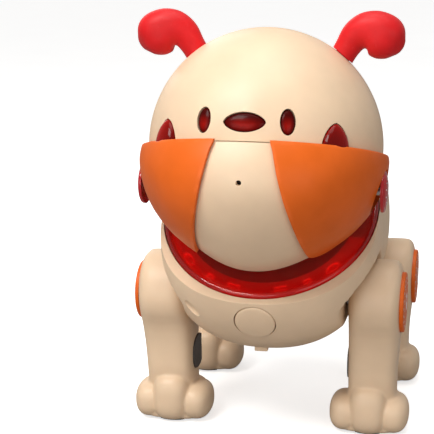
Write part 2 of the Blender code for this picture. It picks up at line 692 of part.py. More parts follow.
def ear(side):
    pts = [Vector((p[0], 0, p[1])) for p, r in EAR_LINE]
    n = 14
    verts, rings = [], []
    for k, (p, (q, r)) in enumerate(zip(pts, EAR_LINE)):
        tan = (pts[min(k + 1, len(pts) - 1)] - pts[max(k - 1, 0)]).normalized()
        side_v = Vector((tan.z, 0, -tan.x))
        ring = []
        for i in range(n):
            a = 2 * math.pi * i / n
            ring.append(len(verts))
            verts.append(p + side_v * (r * math.cos(a)) + Vector((0, 1, 0)) * (r * 0.82 * math.sin(a)))
        rings.append(ring)
    tip = len(verts)
    verts.append(pts[-1] + (pts[-1] - pts[-2]).normalized() * 1.9)
    faces = [tuple(rings[0][::-1])]
    for a, b in zip(rings, rings[1:]):
        faces += [(a[i], a[(i + 1) % n], b[(i + 1) % n], b[i]) for i in range(n)]
    faces += [(rings[-1][i], rings[-1][(i + 1) % n], tip) for i in range(n)]
    ob = make("ear", verts, faces)
    move(ob, Matrix.Translation(HC + EAR_AX * 56.0))
    ball = ellipsoid("clear", HC, (56.6, 56.6, 56.6), 28, 16)
    boolean(ob, ball)
    m = aim(EAR_AX, HC)
    stem = solid_rev("stem", [(0, 48.6), (5.6, 48.6), (5.6, 50.8), (3.95, 52.0), (3.95, 60.0), (0, 60.0)], 16)
    boolean(ob, move(stem, m), "UNION")
    if side < 0:
        move(ob, Matrix.Scale(-1, 4, (1, 0, 0)))
    return ob


keep(ear(1), "ear_left", "ear_left", "red_rubber")
keep(ear(-1), "ear_right", "ear_right", "red_rubber")

# ------------------------------------------------------------------ gears, motors, gear frames
def gear_outline(n, m, slack, phase=0.0):
    rp = n * m / 2
    rb = rp * math.cos(math.radians(20))
    ro, rr = rp + m, rp - 1.2 * m
    inv = lambda a: math.tan(a) - a
    base = math.pi / (2 * n) - slack / (2 * rp) + inv(math.radians(20))
    half = lambda r: base - (inv(math.acos(min(1, rb / r))) if r > rb else 0)
    radii = [rr, max(rb, rr + 0.2), rp, ro]
    pts = []
    for k in range(n):
        c = phase + 2 * math.pi * k / n
        left = [(r, c - max(half(r), 0.1 * m / r)) for r in radii]
        right = [(r, c + max(half(r), 0.1 * m / r)) for r in radii[::-1]]
        pts += [(r * math.cos(a), r * math.sin(a)) for r, a in left + right]
    return pts


YZX = Matrix(((0, 0, 1, 0), (1, 0, 0, 0), (0, 1, 0, 0), (0, 0, 0, 1)))   # a drawing's x, y, z become y, z, x
CD = MODULE * (GEAR_Z + PINION_Z) / 2
DRIVES = {"front": (HIP_F, 0.0), "rear": (HIP_R, math.pi / 2)}
for end, (hip, ang) in DRIVES.items():
    hy, hz = hip
    py, pz = hy + CD * math.cos(ang), hz + CD * math.sin(ang)
    g = prism("g", gear_outline(GEAR_Z, MODULE, 0.42, ang), -3.4, 3.4)
    boolean(g, cyl("hole", SHAFT_R + 0.35, -9, 9, 16))
    keep(move(g, Matrix.Translation((0, hy, hz)) @ YZX), end + "_drive_gear", end + "_legs", "white_nylon")
    p = prism("p", gear_outline(PINION_Z, MODULE, 0.42, ang + math.pi + math.pi / PINION_Z), -4.0, 4.0)
    boolean(p, cyl("hole", 1.4, -9, 9, 12))
    keep(move(p, Matrix.Translation((0, py, pz)) @ YZX), end + "_motor_pinion", end + "_pinion", "white_nylon")
    motor = solid_rev("m", [(0, -6.6), (1.0, -6.6), (1.0, 8.6), (3.0, 8.6), (3.0, 9.8), (9.8, 9.8), (9.8, 31.0), (3.0, 31.0), (3.0, 33.0), (0, 33.0)], 14)
    boolean(motor, box("flat", (-20, -20, 9), (20, -7.6, 40)))
    boolean(motor, box("flat", (-20, 7.6, 9), (20, 20, 40)))
    rot = YZX if end == "front" else YZX @ Matrix.Rotation(math.pi / 2, 4, "Z")
    keep(move(motor, Matrix.Translation((0, py, pz)) @ rot), end + "_motor", "torso", "steel")
    # frame: two plates held apart by posts
    lo, hi = (-5.4 if end == "rear" else -11.2, -11.0), (CD + 7.0, 11.0)
    frame = box("f", (lo[0], lo[1], 5.4), (hi[0], hi[1], 7.4))
    boolean(frame, box("f2", (lo[0], lo[1], -7.4), (hi[0], hi[1], -5.4)), "UNION")
    posts = [(hi[0] - 1.6, lo[1] + 1.6), (hi[0] - 1.6, hi[1] - 1.6)]
    if end == "front":
        posts += [(lo[0] + 1.6, lo[1] + 1.6), (lo[0] + 1.6, hi[1] - 1.6)]
    for u, v in posts:
        boolean(frame, move(cyl("post", 1.5, -6.4, 6.4, 8), Matrix.Translation((u, v, 0))), "UNION")
    boolean(frame, cyl("sh", SHAFT_R + 0.35, -9, 9, 16))
    boolean(frame, move(cyl("ms", 1.5, -9, 9, 12), Matrix.Translation((CD, 0, 0))))
    move(frame, Matrix.Translation((0, hy, hz)) @ YZX @ Matrix.Rotation(ang, 4, "Z"))
    keep(frame, end + "_gear_frame", "torso", "dark")
    sh = cyl("sh", SHAFT_R, -60.0, 60.0, 16)
    keep(move(sh, Matrix.Translation((0, hy, hz)) @ YZX), end + "_hip_shaft", end + "_legs", "steel")

# ------------------------------------------------------------------ legs
def leg_profile(zh, rear_leg):
    """Stations (z, centre y offset, half depth, half width) from the ankle to the top of the shoulder."""
    r = HIP_RAD
    out = []
    for z in (9.0, 18.0, 26.0):
        out.append((z, 0.0, 13.9, 0.5))
    zm = zh - r * 0.62
    out.append(((26.0 + zm) / 2, 0, 14.6, 0.5))
    for a in (-38, -12, 14, 38, 58, 75, 86):
        z = zh + r * math.sin(math.radians(a))
        hw = 0.5 - 0.27 * (max(a, 0) / 90) ** 1.7
        d = r * math.cos(math.radians(a))
        out.append((z, 0, max(d, 16.2 if a < -30 else 0), hw))
    return out


def leg_solid(hip, foot_y, inset=0.0, x_lo=LEG_IN, x_hi=LEG_OUT, z_lo=None):
    hy, hz = hip
    wid, mid = x_hi - x_lo, (x_hi + x_lo) / 2
    verts, rings = [], []
    n = 14 if inset == 0 else 10
    for z, dy, hd, hw in leg_profile(hz, False):
        if z_lo is not None and z < z_lo:
            z = z_lo
        k = min(1, max(0, (hz - z) / (hz - 12)))
        yc = hy + (foot_y - hy) * k
        hd = max(hd - inset, 1.0)
        zz = z if z <= hz else hz + (z - hz) * (1 - inset / HIP_RAD)
        ring = []
        for i in range(n):
            a = 2 * math.pi * i / n
            c, s = math.cos(a), math.sin(a)
            e = 2 / 4.2
            ring.append(len(verts))
            verts.append((mid + wid * (0.5 - hw) * 0.5 + wid * hw * math.copysign(abs(c) ** e, c), yc + hd * math.copysign(abs(s) ** e, s), zz))
        if rings and abs(verts[ring[0]][2] - verts[rings[-1][0]][2]) < 0.3:
            verts = verts[:ring[0]]
            continue
        rings.append(ring)
    faces = [tuple(rings[0][::-1])]
    for a, b in zip(rings, rings[1:]):
        faces += [(a[i], a[(i + 1) % n], b[(i + 1) % n], b[i]) for i in range(n)]
    faces.append(tuple(rings[-1]))
    return make("leg", verts, faces)


FOOT = {"front": -38.9, "rear": 38.9}


def leg(end, hip):
    hy, hz = hip
    fy = FOOT[end]
    ob = leg_solid(hip, fy)
    cx = LEG_X
    for c, r in (((cx, fy - 5.5, 11.8), (8.2, 12.4, 11.2)), ((cx - 11.3, fy - 3.2, 10.0), (8.3, 12.0, 9.6)),
                 ((cx + 11.3, fy - 3.2, 10.0), (8.3, 12.0, 9.6)), ((cx, fy + 3.0, 10.0), (15.0, 14.8, 9.6))):
        boolean(ob, ellipsoid("t", c, r, 12, 8), "UNION")
    boolean(ob, box("floor", (0, -200, -50), (100, 200, 0.7)))
    # pocket behind the inner cover, with the hub for the shaft
    pocket = leg_solid(hip, fy, 2.6, LEG_IN - 4, LEG_OUT - 3.4, z_lo=24.0)
    boolean(ob, pocket)
    hub = cyl("hub", 6.2, LEG_IN + 2.8, LEG_OUT - 2.6, 12)
    boolean(ob, move(hub, Matrix.Translation((0, hy, hz)) @ YZX), "UNION")
    boolean(ob, move(cyl("bore", SHAFT_R + 0.35, LEG_IN - 1, 60.4, 12), Matrix.Translation((0, hy, hz)) @ YZX))
    # seat for the hip disc on the outside
    boolean(ob, move(cyl("seat", DISC_R + 0.4, LEG_OUT - 0.9, LEG_OUT + 5, 24), Matrix.Translation((0, hy, hz)) @ YZX))
    cover = leg_solid(hip, fy, 3.0, LEG_IN - 4, LEG_OUT, z_lo=24.5)
    boolean(cover, box("a", (LEG_IN + 1.8, -200, 0), (100, 200, 200)))
    boolean(cover, box("b", (0, -200, 0), (LEG_IN - 0.6, 200, 200)))
    boolean(cover, move(cyl("bore", SHAFT_R + 0.5, 20, 80, 16), Matrix.Translation((0, hy, hz)) @ YZX))
    disc = solid_rev("disc", [(0, LEG_OUT - 0.55), (DISC_R, LEG_OUT - 0.55), (DISC_R, LEG_OUT + 0.9), (DISC_R - 1.0, LEG_OUT + 1.5), (0, LEG_OUT + 1.9)], 24)
    move(disc, Matrix.Translation((0, hy, hz)) @ YZX)
    # rubber sole let into the paw
    oval = lambda gr: [(cx + (11.5 + gr) * math.cos(2 * math.pi * i / 14), fy - 1.5 + (11.5 + gr) * math.sin(2 * math.pi * i / 14)) for i in range(14)]
    boolean(ob, prism("sr", oval(0.35), -2, SOLE_T + 0.35))
    sole = prism("sole", oval(0), 0.0, SOLE_T)
    return ob, cover, disc, sole


for end, hip in (("front", HIP_F), ("rear", HIP_R)):
    for ob, kind, slot in zip(leg(end, hip), ("leg", "leg_cover", "hip_disc", "sole"), ("cream", "dark", "orange", "rubber")):
        keep(mirror_x(ob, "r"), "%s_%s_right" % (end, kind), end + "_legs", slot)
        keep(ob, "%s_%s_left" % (end, kind), end + "_legs", slot)

# ------------------------------------------------------------------ batteries, door, switch, board, speaker
tray = box("t", (-18.2, -18.1, 47.6), (18.2, 28.1, 60.0))
boolean(tray, box("h", (-17.0, -16.9, 40), (17.0, 26.9, 59.0)))
keep(tray, "battery_tray", "torso", "dark")
for i, x in enumerate((-11.2, 0, 11.2)):
    cell = solid_rev("cell", [(0, -21.5), (5.1, -21.5), (5.1, 20.5), (1.9, 20.5), (1.9, 21.5), (0, 21.5)], 16)
    flip = Matrix.Rotation(math.pi / 2 * (1 if i % 2 else -1), 4, "X")
    keep(move(cell, Matrix.Translation((x, 5.0, 53.5)) @ flip), "battery_cell_%d" % (i + 1), "torso", "battery")
door = torso_solid("door")
boolean(door, torso_solid("inner", BODY_WALL, 20))
boolean(door, box("keepbox", (BAY[0] + 0.4, BAY[1] + 0.4, 20), (BAY[2] - 0.4, BAY[3] - 0.4, 60)), "INTERSECT")
boolean(door, box("tab", (-3.0, BAY[1] + 0.4, 39.0), (3.0, BAY[1] + 4.4, 44.6)), "UNION")
boolean(door, move(cyl("scr", 1.6, 20, 60, 12), Matrix.Translation((0, BAY[3] - 5.5, 0))))
boolean(door, move(cyl("scr", 3.2, 20, 41.6, 12), Matrix.Translation((0, BAY[3] - 5.5, 0))))
keep(door, "battery_door", "battery_door", "cream")
screw = solid_rev("s", [(0, 40.4), (2.7, 40.4), (2.7, 41.25), (1.2, 41.6), (1.2, 44.4), (0, 44.6)], 12)
boolean(screw, box("x", (-2, -0.35, 38), (2, 0.35, 40.9)))
keep(move(screw, Matrix.Translation((0, BAY[3] - 5.5, 0))), "battery_door_screw", "battery_door", "steel")

SW = (26.5, -9.0)
boolean(PARTS["torso_front_shell"][0], box("slot", (SW[0] - 2.4, SW[1] - 2.4, 30), (SW[0] + 2.4, SW[1] + 5.4, 49.6)))
boolean(PARTS["torso_front_shell"][0], box("slot", (SW[0] - 4.2, SW[1] - 5.4, 49.0), (SW[0] + 4.2, SW[1] + 8.4, 60)))
sw = box("sw", (SW[0] - 2.0, SW[1] - 2.0, 43.8), (SW[0] + 2.0, SW[1] + 2.0, 51.5), bevel=0.3)
boolean(sw, box("fl", (SW[0] - 3.4, SW[1] - 4.4, 51.2), (SW[0] + 3.4, SW[1] + 4.4, 52.6)), "UNION")
keep(sw, "power_switch_knob", "power_switch", "dark")
swb = box("swb", (SW[0] - 3.8, SW[1] - 4.6, 53.0), (SW[0] + 3.8, SW[1] + 7.6, 56.8))
keep(swb, "power_switch_body", "torso", "black")

pcb = box("pcb", (-24, 0, 97.0), (24, 46, 98.6))
for lo, hi in (((-8, 4, 98), (4, 12, 100.4)), ((10, 4, 98), (18, 10, 100)), ((-22, 30, 98), (-16, 42, 104))):
    boolean(pcb, box("chip", lo, hi), "UNION")
keep(pcb, "main_board", "torso", "pcb")
spk = solid_rev("spk", [(0, 100.6), (8.0, 100.6), (8.0, 103.4), (13.5, 103.4), (13.5, 105.4), (12.0, 105.4), (6.0, 104.3), (0, 104.8)], 16)
keep(move(spk, Matrix.Translation((2.5, 28.5, 0))), "speaker", "torso", "black")

# ------------------------------------------------------------------ finish: metres, centred, origins on the joint axes
def joint_points(shift):
    return {
        "torso": Vector((0, 0, 0)), "head": AX, "jaw": PIV, "ear_left": HC + EAR_AX * 56.0,
        "ear_right": HC + Vector((-EAR_AX.x, EAR_AX.y, EAR_AX.z)) * 56.0, "chest_button": BUT_M.translation,
        "front_legs": Vector((0, *HIP_F)), "rear_legs": Vector((0, *HIP_R)),
        "front_pinion": Vector((0, HIP_F[0] + CD, HIP_F[1])), "rear_pinion": Vector((0, HIP_R[0], HIP_R[1] + CD)),
        "battery_door": Vector((0, 5.0, 42.0)), "power_switch": Vector((SW[0], SW[1], 47.0)),
    }


bpy.context.view_layer.update()
ys = [v.co.y for ob, b in PARTS.values() for v in ob.data.vertices]
SHIFT = Vector((0, -(min(ys) + max(ys)) / 2, 0))
JOINTS = joint_points(SHIFT)
for name, (ob, body) in PARTS.items():
    at = (JOINTS[body] + SHIFT) if body != "torso" else Vector((0, 0, 0))
    bm = bmesh.new()
    bm.from_mesh(ob.data)
    bmesh.ops.translate(bm, verts=bm.verts, vec=SHIFT - at)
    bmesh.ops.scale(bm, verts=bm.verts, vec=(0.001, 0.001, 0.001))
    bmesh.ops.remove_doubles(bm, verts=bm.verts, dist=0.000004)
    bmesh.ops.recalc_face_normals(bm, faces=bm.faces)
    bm.to_mesh(ob.data)
    bm.free()
    ob.location = at * 0.001
    ob.data.shade_smooth()
    ob.data.set_sharp_from_angle(angle=math.radians(32))
for ob in list(bpy.data.objects):
    if ob.name not in PARTS:
        bpy.data.objects.remove(ob, do_unlink=True)
bpy.context.view_layer.update()
for b, p in JOINTS.items():
    q = p + SHIFT
    print("joint %-13s %8.3f %8.3f %8.3f" % (b, q.x, q.y, q.z))
print("neck axis", NECK[:], "button", BUT_DIR[:], "ear", EAR_AX[:], "shift", SHIFT.y, "nodes", len(PARTS))
print("triangles", sum(sum(len(p.vertices) - 2 for p in ob.data.polygons) for ob, b in PARTS.values()))
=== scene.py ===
import json
import math

import bmesh
import bpy
import numpy as np
from mathutils import Matrix, Vector
from mathutils.bvhtree import BVHTree


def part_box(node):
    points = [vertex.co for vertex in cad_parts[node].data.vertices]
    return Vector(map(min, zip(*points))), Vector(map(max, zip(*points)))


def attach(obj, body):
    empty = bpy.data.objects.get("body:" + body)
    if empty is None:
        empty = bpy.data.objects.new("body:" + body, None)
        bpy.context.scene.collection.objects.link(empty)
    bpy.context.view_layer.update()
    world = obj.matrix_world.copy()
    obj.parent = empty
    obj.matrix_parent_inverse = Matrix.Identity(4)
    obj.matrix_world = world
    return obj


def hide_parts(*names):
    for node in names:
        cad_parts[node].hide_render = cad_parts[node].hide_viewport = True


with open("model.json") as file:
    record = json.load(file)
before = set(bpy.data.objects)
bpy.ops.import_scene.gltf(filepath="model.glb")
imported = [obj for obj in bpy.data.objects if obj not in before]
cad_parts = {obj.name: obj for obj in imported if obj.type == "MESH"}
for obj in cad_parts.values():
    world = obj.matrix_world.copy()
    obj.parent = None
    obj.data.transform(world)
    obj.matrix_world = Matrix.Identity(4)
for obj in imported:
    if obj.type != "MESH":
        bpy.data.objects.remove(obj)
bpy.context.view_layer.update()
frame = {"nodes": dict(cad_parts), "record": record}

# ------------------------------------------------------------------ the toy's own dimensions, mm, degrees
GAP = 0.35
HEAD_C = (0.0, -56.8, 146.4)
HEAD_R = 56.0
HEAD_TILT = 15.0
SEAM_Z = -3.9
DOME_WALL = 2.2
BASE_R = 53.2
NECK_TILT = 37.5
RIM_TILT = 42.7
RIM_DROP = 17.4
COLLAR_C = (0.0, -44.0, 113.0)
COLLAR_R = 53.2
COLLAR_T = 6.0
EYE_AZ, EYE_Z, EYE_W, EYE_H = 19.8, 5.7, 6.4, 11.2
NOSE_Z, NOSE_W, NOSE_H = 4.9, 18.4, 8.6
FANG_AZ = 44.0
JAW_OPEN = 7.0
JAW_PIVOT = (-5.0, -20.0)
CAP_R = 10.0
CAP_X = 56.6
BODY_C = (0.0, -42.5, 100.5)
BODY_R = 58.6
BODY_W = 54.4
BELLY = 56.8
CHEST = 51.0
HEAD_CLEAR = 56.8
BODY_BACK = 107.0
BODY_WALL = 2.4
SPLIT_Y = 4.0
LEG_X = 51.0
HIP_F = (-41.4, 67.5)
HIP_R = (41.4, 58.6)
HIP_RAD = 21.0
LEG_IN, LEG_OUT = 40.2, 64.4
DISC_R = 15.0
SHAFT_R = 2.5
BUTTON_R = 9.8
SOLE_T = 1.6
BAY = (-19.0, -18.6, 19.0, 28.6)
SW = (26.5, -9.0)
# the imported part's box is centred on the origin; the hip shaft tells how far the drawing above was shifted
lo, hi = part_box("front_hip_shaft")
SHIFT_Y = (lo[1] + hi[1]) * 500.0 - HIP_F[0]


# ------------------------------------------------------------------ mesh helpers (millimetres)
def make(name, verts, faces):
    me = bpy.data.meshes.new(name)
    me.from_pydata([tuple(map(float, v)) for v in verts], [], [tuple(int(i) for i in f) for f in faces])
    me.update()
    ob = bpy.data.objects.new(name, me)
    bpy.context.scene.collection.objects.link(ob)
    bm = bmesh.new()
    bm.from_mesh(me)
    bmesh.ops.remove_doubles(bm, verts=bm.verts, dist=0.0005)
    bmesh.ops.recalc_face_normals(bm, faces=bm.faces)
    bm.to_mesh(me)
    bm.free()
    return ob


def bake(ob):
    dg = bpy.context.evaluated_depsgraph_get()
    dg.update()
    me = bpy.data.meshes.new_from_object(ob.evaluated_get(dg), depsgraph=dg)
    ob.modifiers.clear()
    old = ob.data
    ob.data = me
    bpy.data.meshes.remove(old)
    return ob


def boolean(a, b, op="DIFFERENCE", keep=False):
    m = a.modifiers.new("b", "BOOLEAN")
    m.operation = op
    m.object = b
    m.solver = "EXACT"
    bpy.context.view_layer.update()
    bake(a)
    if not keep:
        bpy.data.objects.remove(b, do_unlink=True)
    return a


def copy(ob, name="copy"):
    c = bpy.data.objects.new(name, ob.data.copy())
    bpy.context.scene.collection.objects.link(c)
    return c


def move(ob, m):
    ob.data.transform(m)
    if m.determinant() < 0:
        ob.data.flip_normals()
    return ob


def join(obs):
    """All meshes in one object, still overlapping."""
    bm = bmesh.new()
    for o in obs:
        bm.from_mesh(o.data)
    me = bpy.data.meshes.new("join")
    bm.to_mesh(me)
    bm.free()
    base = obs[0]
    for o in obs[1:]:
        bpy.data.objects.remove(o, do_unlink=True)
    base.data = me
    return base


def remesh(ob, voxel, smooth=6, factor=0.5):
    """One soft skin over overlapping volumes."""
    m = ob.modifiers.new("r", "REMESH")
    m.mode = "VOXEL"
    m.voxel_size = voxel
    m.adaptivity = 0
    bake(ob)
    if smooth:
        m = ob.modifiers.new("s", "SMOOTH")
        m.iterations = smooth
        m.factor = factor
        bake(ob)
    return ob


def bevel(ob, width, segments=3, angle=35):
    m = ob.modifiers.new("v", "BEVEL")
    m.width = width
    m.segments = segments
    m.limit_method = "ANGLE"
    m.angle_limit = math.radians(angle)
    m.harden_normals = False
    m.use_clamp_overlap = True
    m.miter_outer = "MITER_ARC"
    return bake(ob)


def revolve(name, profile, n=64):
    verts, rings = [], []
    for r, z in profile:
        if r < 1e-6:
            rings.append([len(verts)])
            verts.append((0, 0, z))
        else:
            rings.append(list(range(len(verts), len(verts) + n)))
            verts += [(r * math.cos(2 * math.pi * i / n), r * math.sin(2 * math.pi * i / n), z) for i in range(n)]
    faces = []
    for k in range(len(profile)):
        a, b = rings[k], rings[(k + 1) % len(profile)]
        if len(a) == 1 and len(b) == 1:
            continue
        for i in range(n):
            j = (i + 1) % n
            f = [a[i % len(a)], a[j % len(a)], b[j % len(b)], b[i % len(b)]]
            f = [v for q, v in enumerate(f) if v not in f[:q]]
            if len(f) > 2:
                faces.append(f)
    return make(name, verts, faces)


def solid_rev(name, profile, n=64):
    p = list(profile)
    if p[0][0] > 1e-6:
        p.insert(0, (0, p[0][1]))
    if p[-1][0] > 1e-6:
        p.append((0, p[-1][1]))
    return revolve(name, p, n)


def cyl(name, r, z0, z1, n=64):
    return solid_rev(name, [(r, z0), (r, z1)], n)


def box(name, lo, hi):
    v = [(x, y, z) for x in (lo[0], hi[0]) for y in (lo[1], hi[1]) for z in (lo[2], hi[2])]
    f = [(0, 1, 3, 2), (4, 6, 7, 5), (0, 4, 5, 1), (2, 3, 7, 6), (0, 2, 6, 4), (1, 5, 7, 3)]
    return make(name, v, f)


def prism(name, outline, z0, z1):
    n = len(outline)
    v = [(x, y, z0) for x, y in outline] + [(x, y, z1) for x, y in outline]
    f = [tuple(range(n))[::-1], tuple(range(n, 2 * n))]
    f += [(i, (i + 1) % n, n + (i + 1) % n, n + i) for i in range(n)]
    return make(name, v, f)


def ellipsoid(name, c, r, nu=40, nv=24):
    prof = [(math.sin(math.pi * k / nv), -math.cos(math.pi * k / nv)) for k in range(nv + 1)]
    prof[0], prof[-1] = (0, -1), (0, 1)
    ob = solid_rev(name, prof, nu)
    ob.data.transform(Matrix.Translation(c) @ Matrix.Diagonal((*r, 1)))
    return ob


def pillow(name, c, r, e=2.7, nu=44, nv=30):
    """A rounded block: an ellipsoid with fuller shoulders."""
    f = lambda t: math.copysign(abs(t) ** (2 / e), t)
    verts, rings = [(0, 0, -1)], []
    for k in range(1, nv):
        a = -math.pi / 2 + math.pi * k / nv
        rings.append(len(verts))
        verts += [(f(math.cos(a)) * f(math.cos(2 * math.pi * i / nu)), f(math.cos(a)) * f(math.sin(2 * math.pi * i / nu)), f(math.sin(a))) for i in range(nu)]
    top = len(verts)
    verts.append((0, 0, 1))
    faces = [(0, rings[0] + (i + 1) % nu, rings[0] + i) for i in range(nu)] + [(top, rings[-1] + i, rings[-1] + (i + 1) % nu) for i in range(nu)]
    for a, b in zip(rings, rings[1:]):
        faces += [(a + i, a + (i + 1) % nu, b + (i + 1) % nu, b + i) for i in range(nu)]
    ob = make(name, verts, faces)
    ob.data.transform(Matrix.Translation(c) @ Matrix.Diagonal((*r, 1)))
    return ob


def strip_shell(name, outer, inner):
    outer, inner = np.asarray(outer, float), np.asarray(inner, float)
    rows, cols = outer.shape[:2]
    verts = list(outer.reshape(-1, 3)) + list(inner.reshape(-1, 3))
    o = lambda i, j: i * cols + j
    k = rows * cols
    faces = []
    for i in range(rows - 1):
        for j in range(cols - 1):
            faces.append((o(i, j), o(i, j + 1), o(i + 1, j + 1), o(i + 1, j)))
            faces.append((k + o(i, j), k + o(i + 1, j), k + o(i + 1, j + 1), k + o(i, j + 1)))
    for j in range(cols - 1):
        faces.append((o(0, j), k + o(0, j), k + o(0, j + 1), o(0, j + 1)))
        faces.append((o(rows - 1, j), o(rows - 1, j + 1), k + o(rows - 1, j + 1), k + o(rows - 1, j)))
    for i in range(rows - 1):
        faces.append((o(i, 0), o(i + 1, 0), k + o(i + 1, 0), k + o(i, 0)))
        faces.append((o(i, cols - 1), k + o(i, cols - 1), k + o(i + 1, cols - 1), o(i + 1, cols - 1)))
    return make(name, verts, faces)


def aim(axis, at=(0, 0, 0), up=(0, 0, 1)):
    z = Vector(axis).normalized()
    u = Vector(up)
    if abs(z.dot(u)) > 0.99:
        u = Vector((0, 1, 0))
    x = u.cross(z).normalized()
    y = z.cross(x)
    m = Matrix((x, y, z)).transposed().to_4x4()
    return Matrix.Translation(at) @ m


MIRROR = Matrix.Scale(-1, 4, (1, 0, 0))
YZX = Matrix(((0, 0, 1, 0), (1, 0, 0, 0), (0, 1, 0, 0), (0, 0, 0, 1)))
XROT = Matrix.Rotation(math.pi / 2, 4, "Y")

# ------------------------------------------------------------------ materials
class Nodes:
    """Short hand for building one node tree."""

    def __init__(self, name):
        self.m = bpy.data.materials.new(name)
        self.m.use_nodes = True
        self.t = self.m.node_tree
        self.t.nodes.clear()
        self.out = self.t.nodes.new("ShaderNodeOutputMaterial")
        self.p = self.t.nodes.new("ShaderNodeBsdfPrincipled")
        self.t.links.new(self.p.outputs[0], self.out.inputs[0])
        self.co = self.t.nodes.new("ShaderNodeTexCoord").outputs["Object"]

    def link(self, a, b):
        self.t.links.new(a, b)

    def noise(self, scale, detail=3, rough=0.55, vec=None):
        n = self.t.nodes.new("ShaderNodeTexNoise")
        n.inputs["Scale"].default_value = scale
        n.inputs["Detail"].default_value = detail
        n.inputs["Roughness"].default_value = rough
        self.link(vec or self.co, n.inputs["Vector"])
        return n.outputs["Fac"]

    def math(self, op, a, b=None, c=None, clamp=False):
        n = self.t.nodes.new("ShaderNodeMath")
        n.operation = op
        n.use_clamp = clamp
        for i, v in enumerate((a, b, c)):
            if v is None:
                continue
            if isinstance(v, (int, float)):
                n.inputs[i].default_value = v
            else:
                self.link(v, n.inputs[i])
        return n.outputs[0]

    def remap(self, v, a, b, c, d):
        n = self.t.nodes.new("ShaderNodeMapRange")
        n.clamp = True
        for i, x in enumerate((a, b, c, d)):
            n.inputs[i + 1].default_value = x
        self.link(v, n.inputs[0])
        return n.outputs[0]

    def mix(self, fac, a, b):
        n = self.t.nodes.new("ShaderNodeMix")
        n.data_type = "RGBA"
        for sock, v in ((n.inputs[0], fac), (n.inputs[6], a), (n.inputs[7], b)):
            if isinstance(v, (tuple, list)):
                sock.default_value = (*v[:3], 1)
            elif isinstance(v, (int, float)):
                sock.default_value = v
            else:
                self.link(v, sock)
        return n.outputs[2]

    def bump(self, height, dist, strength=1.0, normal=None):
        n = self.t.nodes.new("ShaderNodeBump")
        n.inputs["Distance"].default_value = dist
        n.inputs["Strength"].default_value = strength
        self.link(height, n.inputs["Height"])
        if normal is not None:
            self.link(normal, n.inputs["Normal"])
        return n.outputs[0]

    def round_edges(self, radius):
        n = self.t.nodes.new("ShaderNodeBevel")
        n.samples = 4
        n.inputs["Radius"].default_value = radius
        return n.outputs[0]

    def edge(self, low=0.51, high=0.60):
        g = self.t.nodes.new("ShaderNodeNewGeometry")
        return self.remap(g.outputs["Pointiness"], low, high, 0, 1)

    def xyz(self):
        s = self.t.nodes.new("ShaderNodeSeparateXYZ")
        self.link(self.co, s.inputs[0])
        return s.outputs

    def set(self, **kw):
        for k, v in kw.items():
            sock = self.p.inputs[k.replace("_", " ")]
            if isinstance(v, (int, float)):
                sock.default_value = v
            elif isinstance(v, (tuple, list)):
                sock.default_value = (*v[:3], 1) if len(sock.default_value) == 4 else v
            else:
                self.link(v, sock)


def satin(name, colour, rough=0.42, warm=0.94, grain=0.000035, sss=0.0, spec=0.42, edge_r=0.0004):
    """Moulded plastic: faint flow clouding, spark-eroded grain, handling marks and slightly polished edges."""
    k = Nodes(name)
    c = Vector(colour)
    cloud = k.remap(k.noise(38, 3), 0.35, 0.65, 0, 1)
    deep = tuple(c * warm)
    light = tuple(min(1, v * 1.025 + 0.004) for v in c)
    col = k.mix(cloud, deep, light)
    speck = k.remap(k.noise(5200, 1), 0.62, 0.72, 0, 0.10)
    col = k.mix(speck, col, tuple(c * 0.80))
    worn = k.math("MULTIPLY", k.edge(0.515, 0.60), k.remap(k.noise(160, 4), 0.42, 0.62, 0, 0.40))
    col = k.mix(worn, col, tuple(min(1, v * 1.18 + 0.03) for v in c))
    k.set(Base_Color=col)
    smear = k.remap(k.noise(70, 5, 0.65), 0.3, 0.7, -0.055, 0.06)
    fine = k.remap(k.noise(2600, 2), 0.3, 0.7, -0.03, 0.03)
    k.set(Roughness=k.math("ADD", k.math("ADD", smear, fine), rough, clamp=True))
    n = k.bump(k.noise(3400, 2, 0.6), grain, 0.75, k.round_edges(edge_r))
    n = k.bump(k.noise(55, 2), 0.00012, 0.25, n)
    k.set(Normal=n)
    k.p.inputs["Specular IOR Level"].default_value = spec
    if sss:
        k.p.inputs["Subsurface Weight"].default_value = sss
        k.p.inputs["Subsurface Scale"].default_value = 0.002
        k.p.inputs["Subsurface Radius"].default_value = (1.0, 0.5, 0.3)
    return k.m


def clear_red(name, colour, deep, clarity=0.8, rough=0.06, shine=1.0, rim=(0.35, 1.9, 0.02)):
    """Tinted polished plastic: colour pools with depth, fine sink marks, faint scratches, and a painted glow that
    lightens the colour at glancing angles.
    """
    k = Nodes(name)
    # painted light: the facing mask lightens the colour towards glancing edges as a painted glow; rim gives its
    # strength, gain and lift
    painted_glow_facing = k.t.nodes.new("ShaderNodeLayerWeight")
    painted_glow_facing.inputs["Blend"].default_value = 0.35
    edge = k.remap(painted_glow_facing.outputs["Facing"], 0.0, 0.9, 0, 1)
    pool = k.remap(k.noise(60, 2), 0.3, 0.7, 0, 0.5)
    col = k.mix(pool, colour, deep)
    col = k.mix(k.math("MULTIPLY", edge, rim[0]), col, tuple(min(1, v * rim[1] + rim[2]) for v in colour))
    k.set(Base_Color=col)
    k.set(Roughness=k.remap(k.noise(900, 4, 0.7), 0.35, 0.75, rough, rough + 0.10))
    k.p.inputs["Transmission Weight"].default_value = clarity
    k.p.inputs["IOR"].default_value = 1.5
    k.p.inputs["Specular IOR Level"].default_value = 0.30 * shine
    k.p.inputs["Coat Weight"].default_value = 0.15 * shine
    k.p.inputs["Coat Roughness"].default_value = 0.04
    n = k.bump(k.noise(130, 2), 0.00025, 0.35, k.round_edges(0.0003))
    k.set(Normal=n)
    return k.m


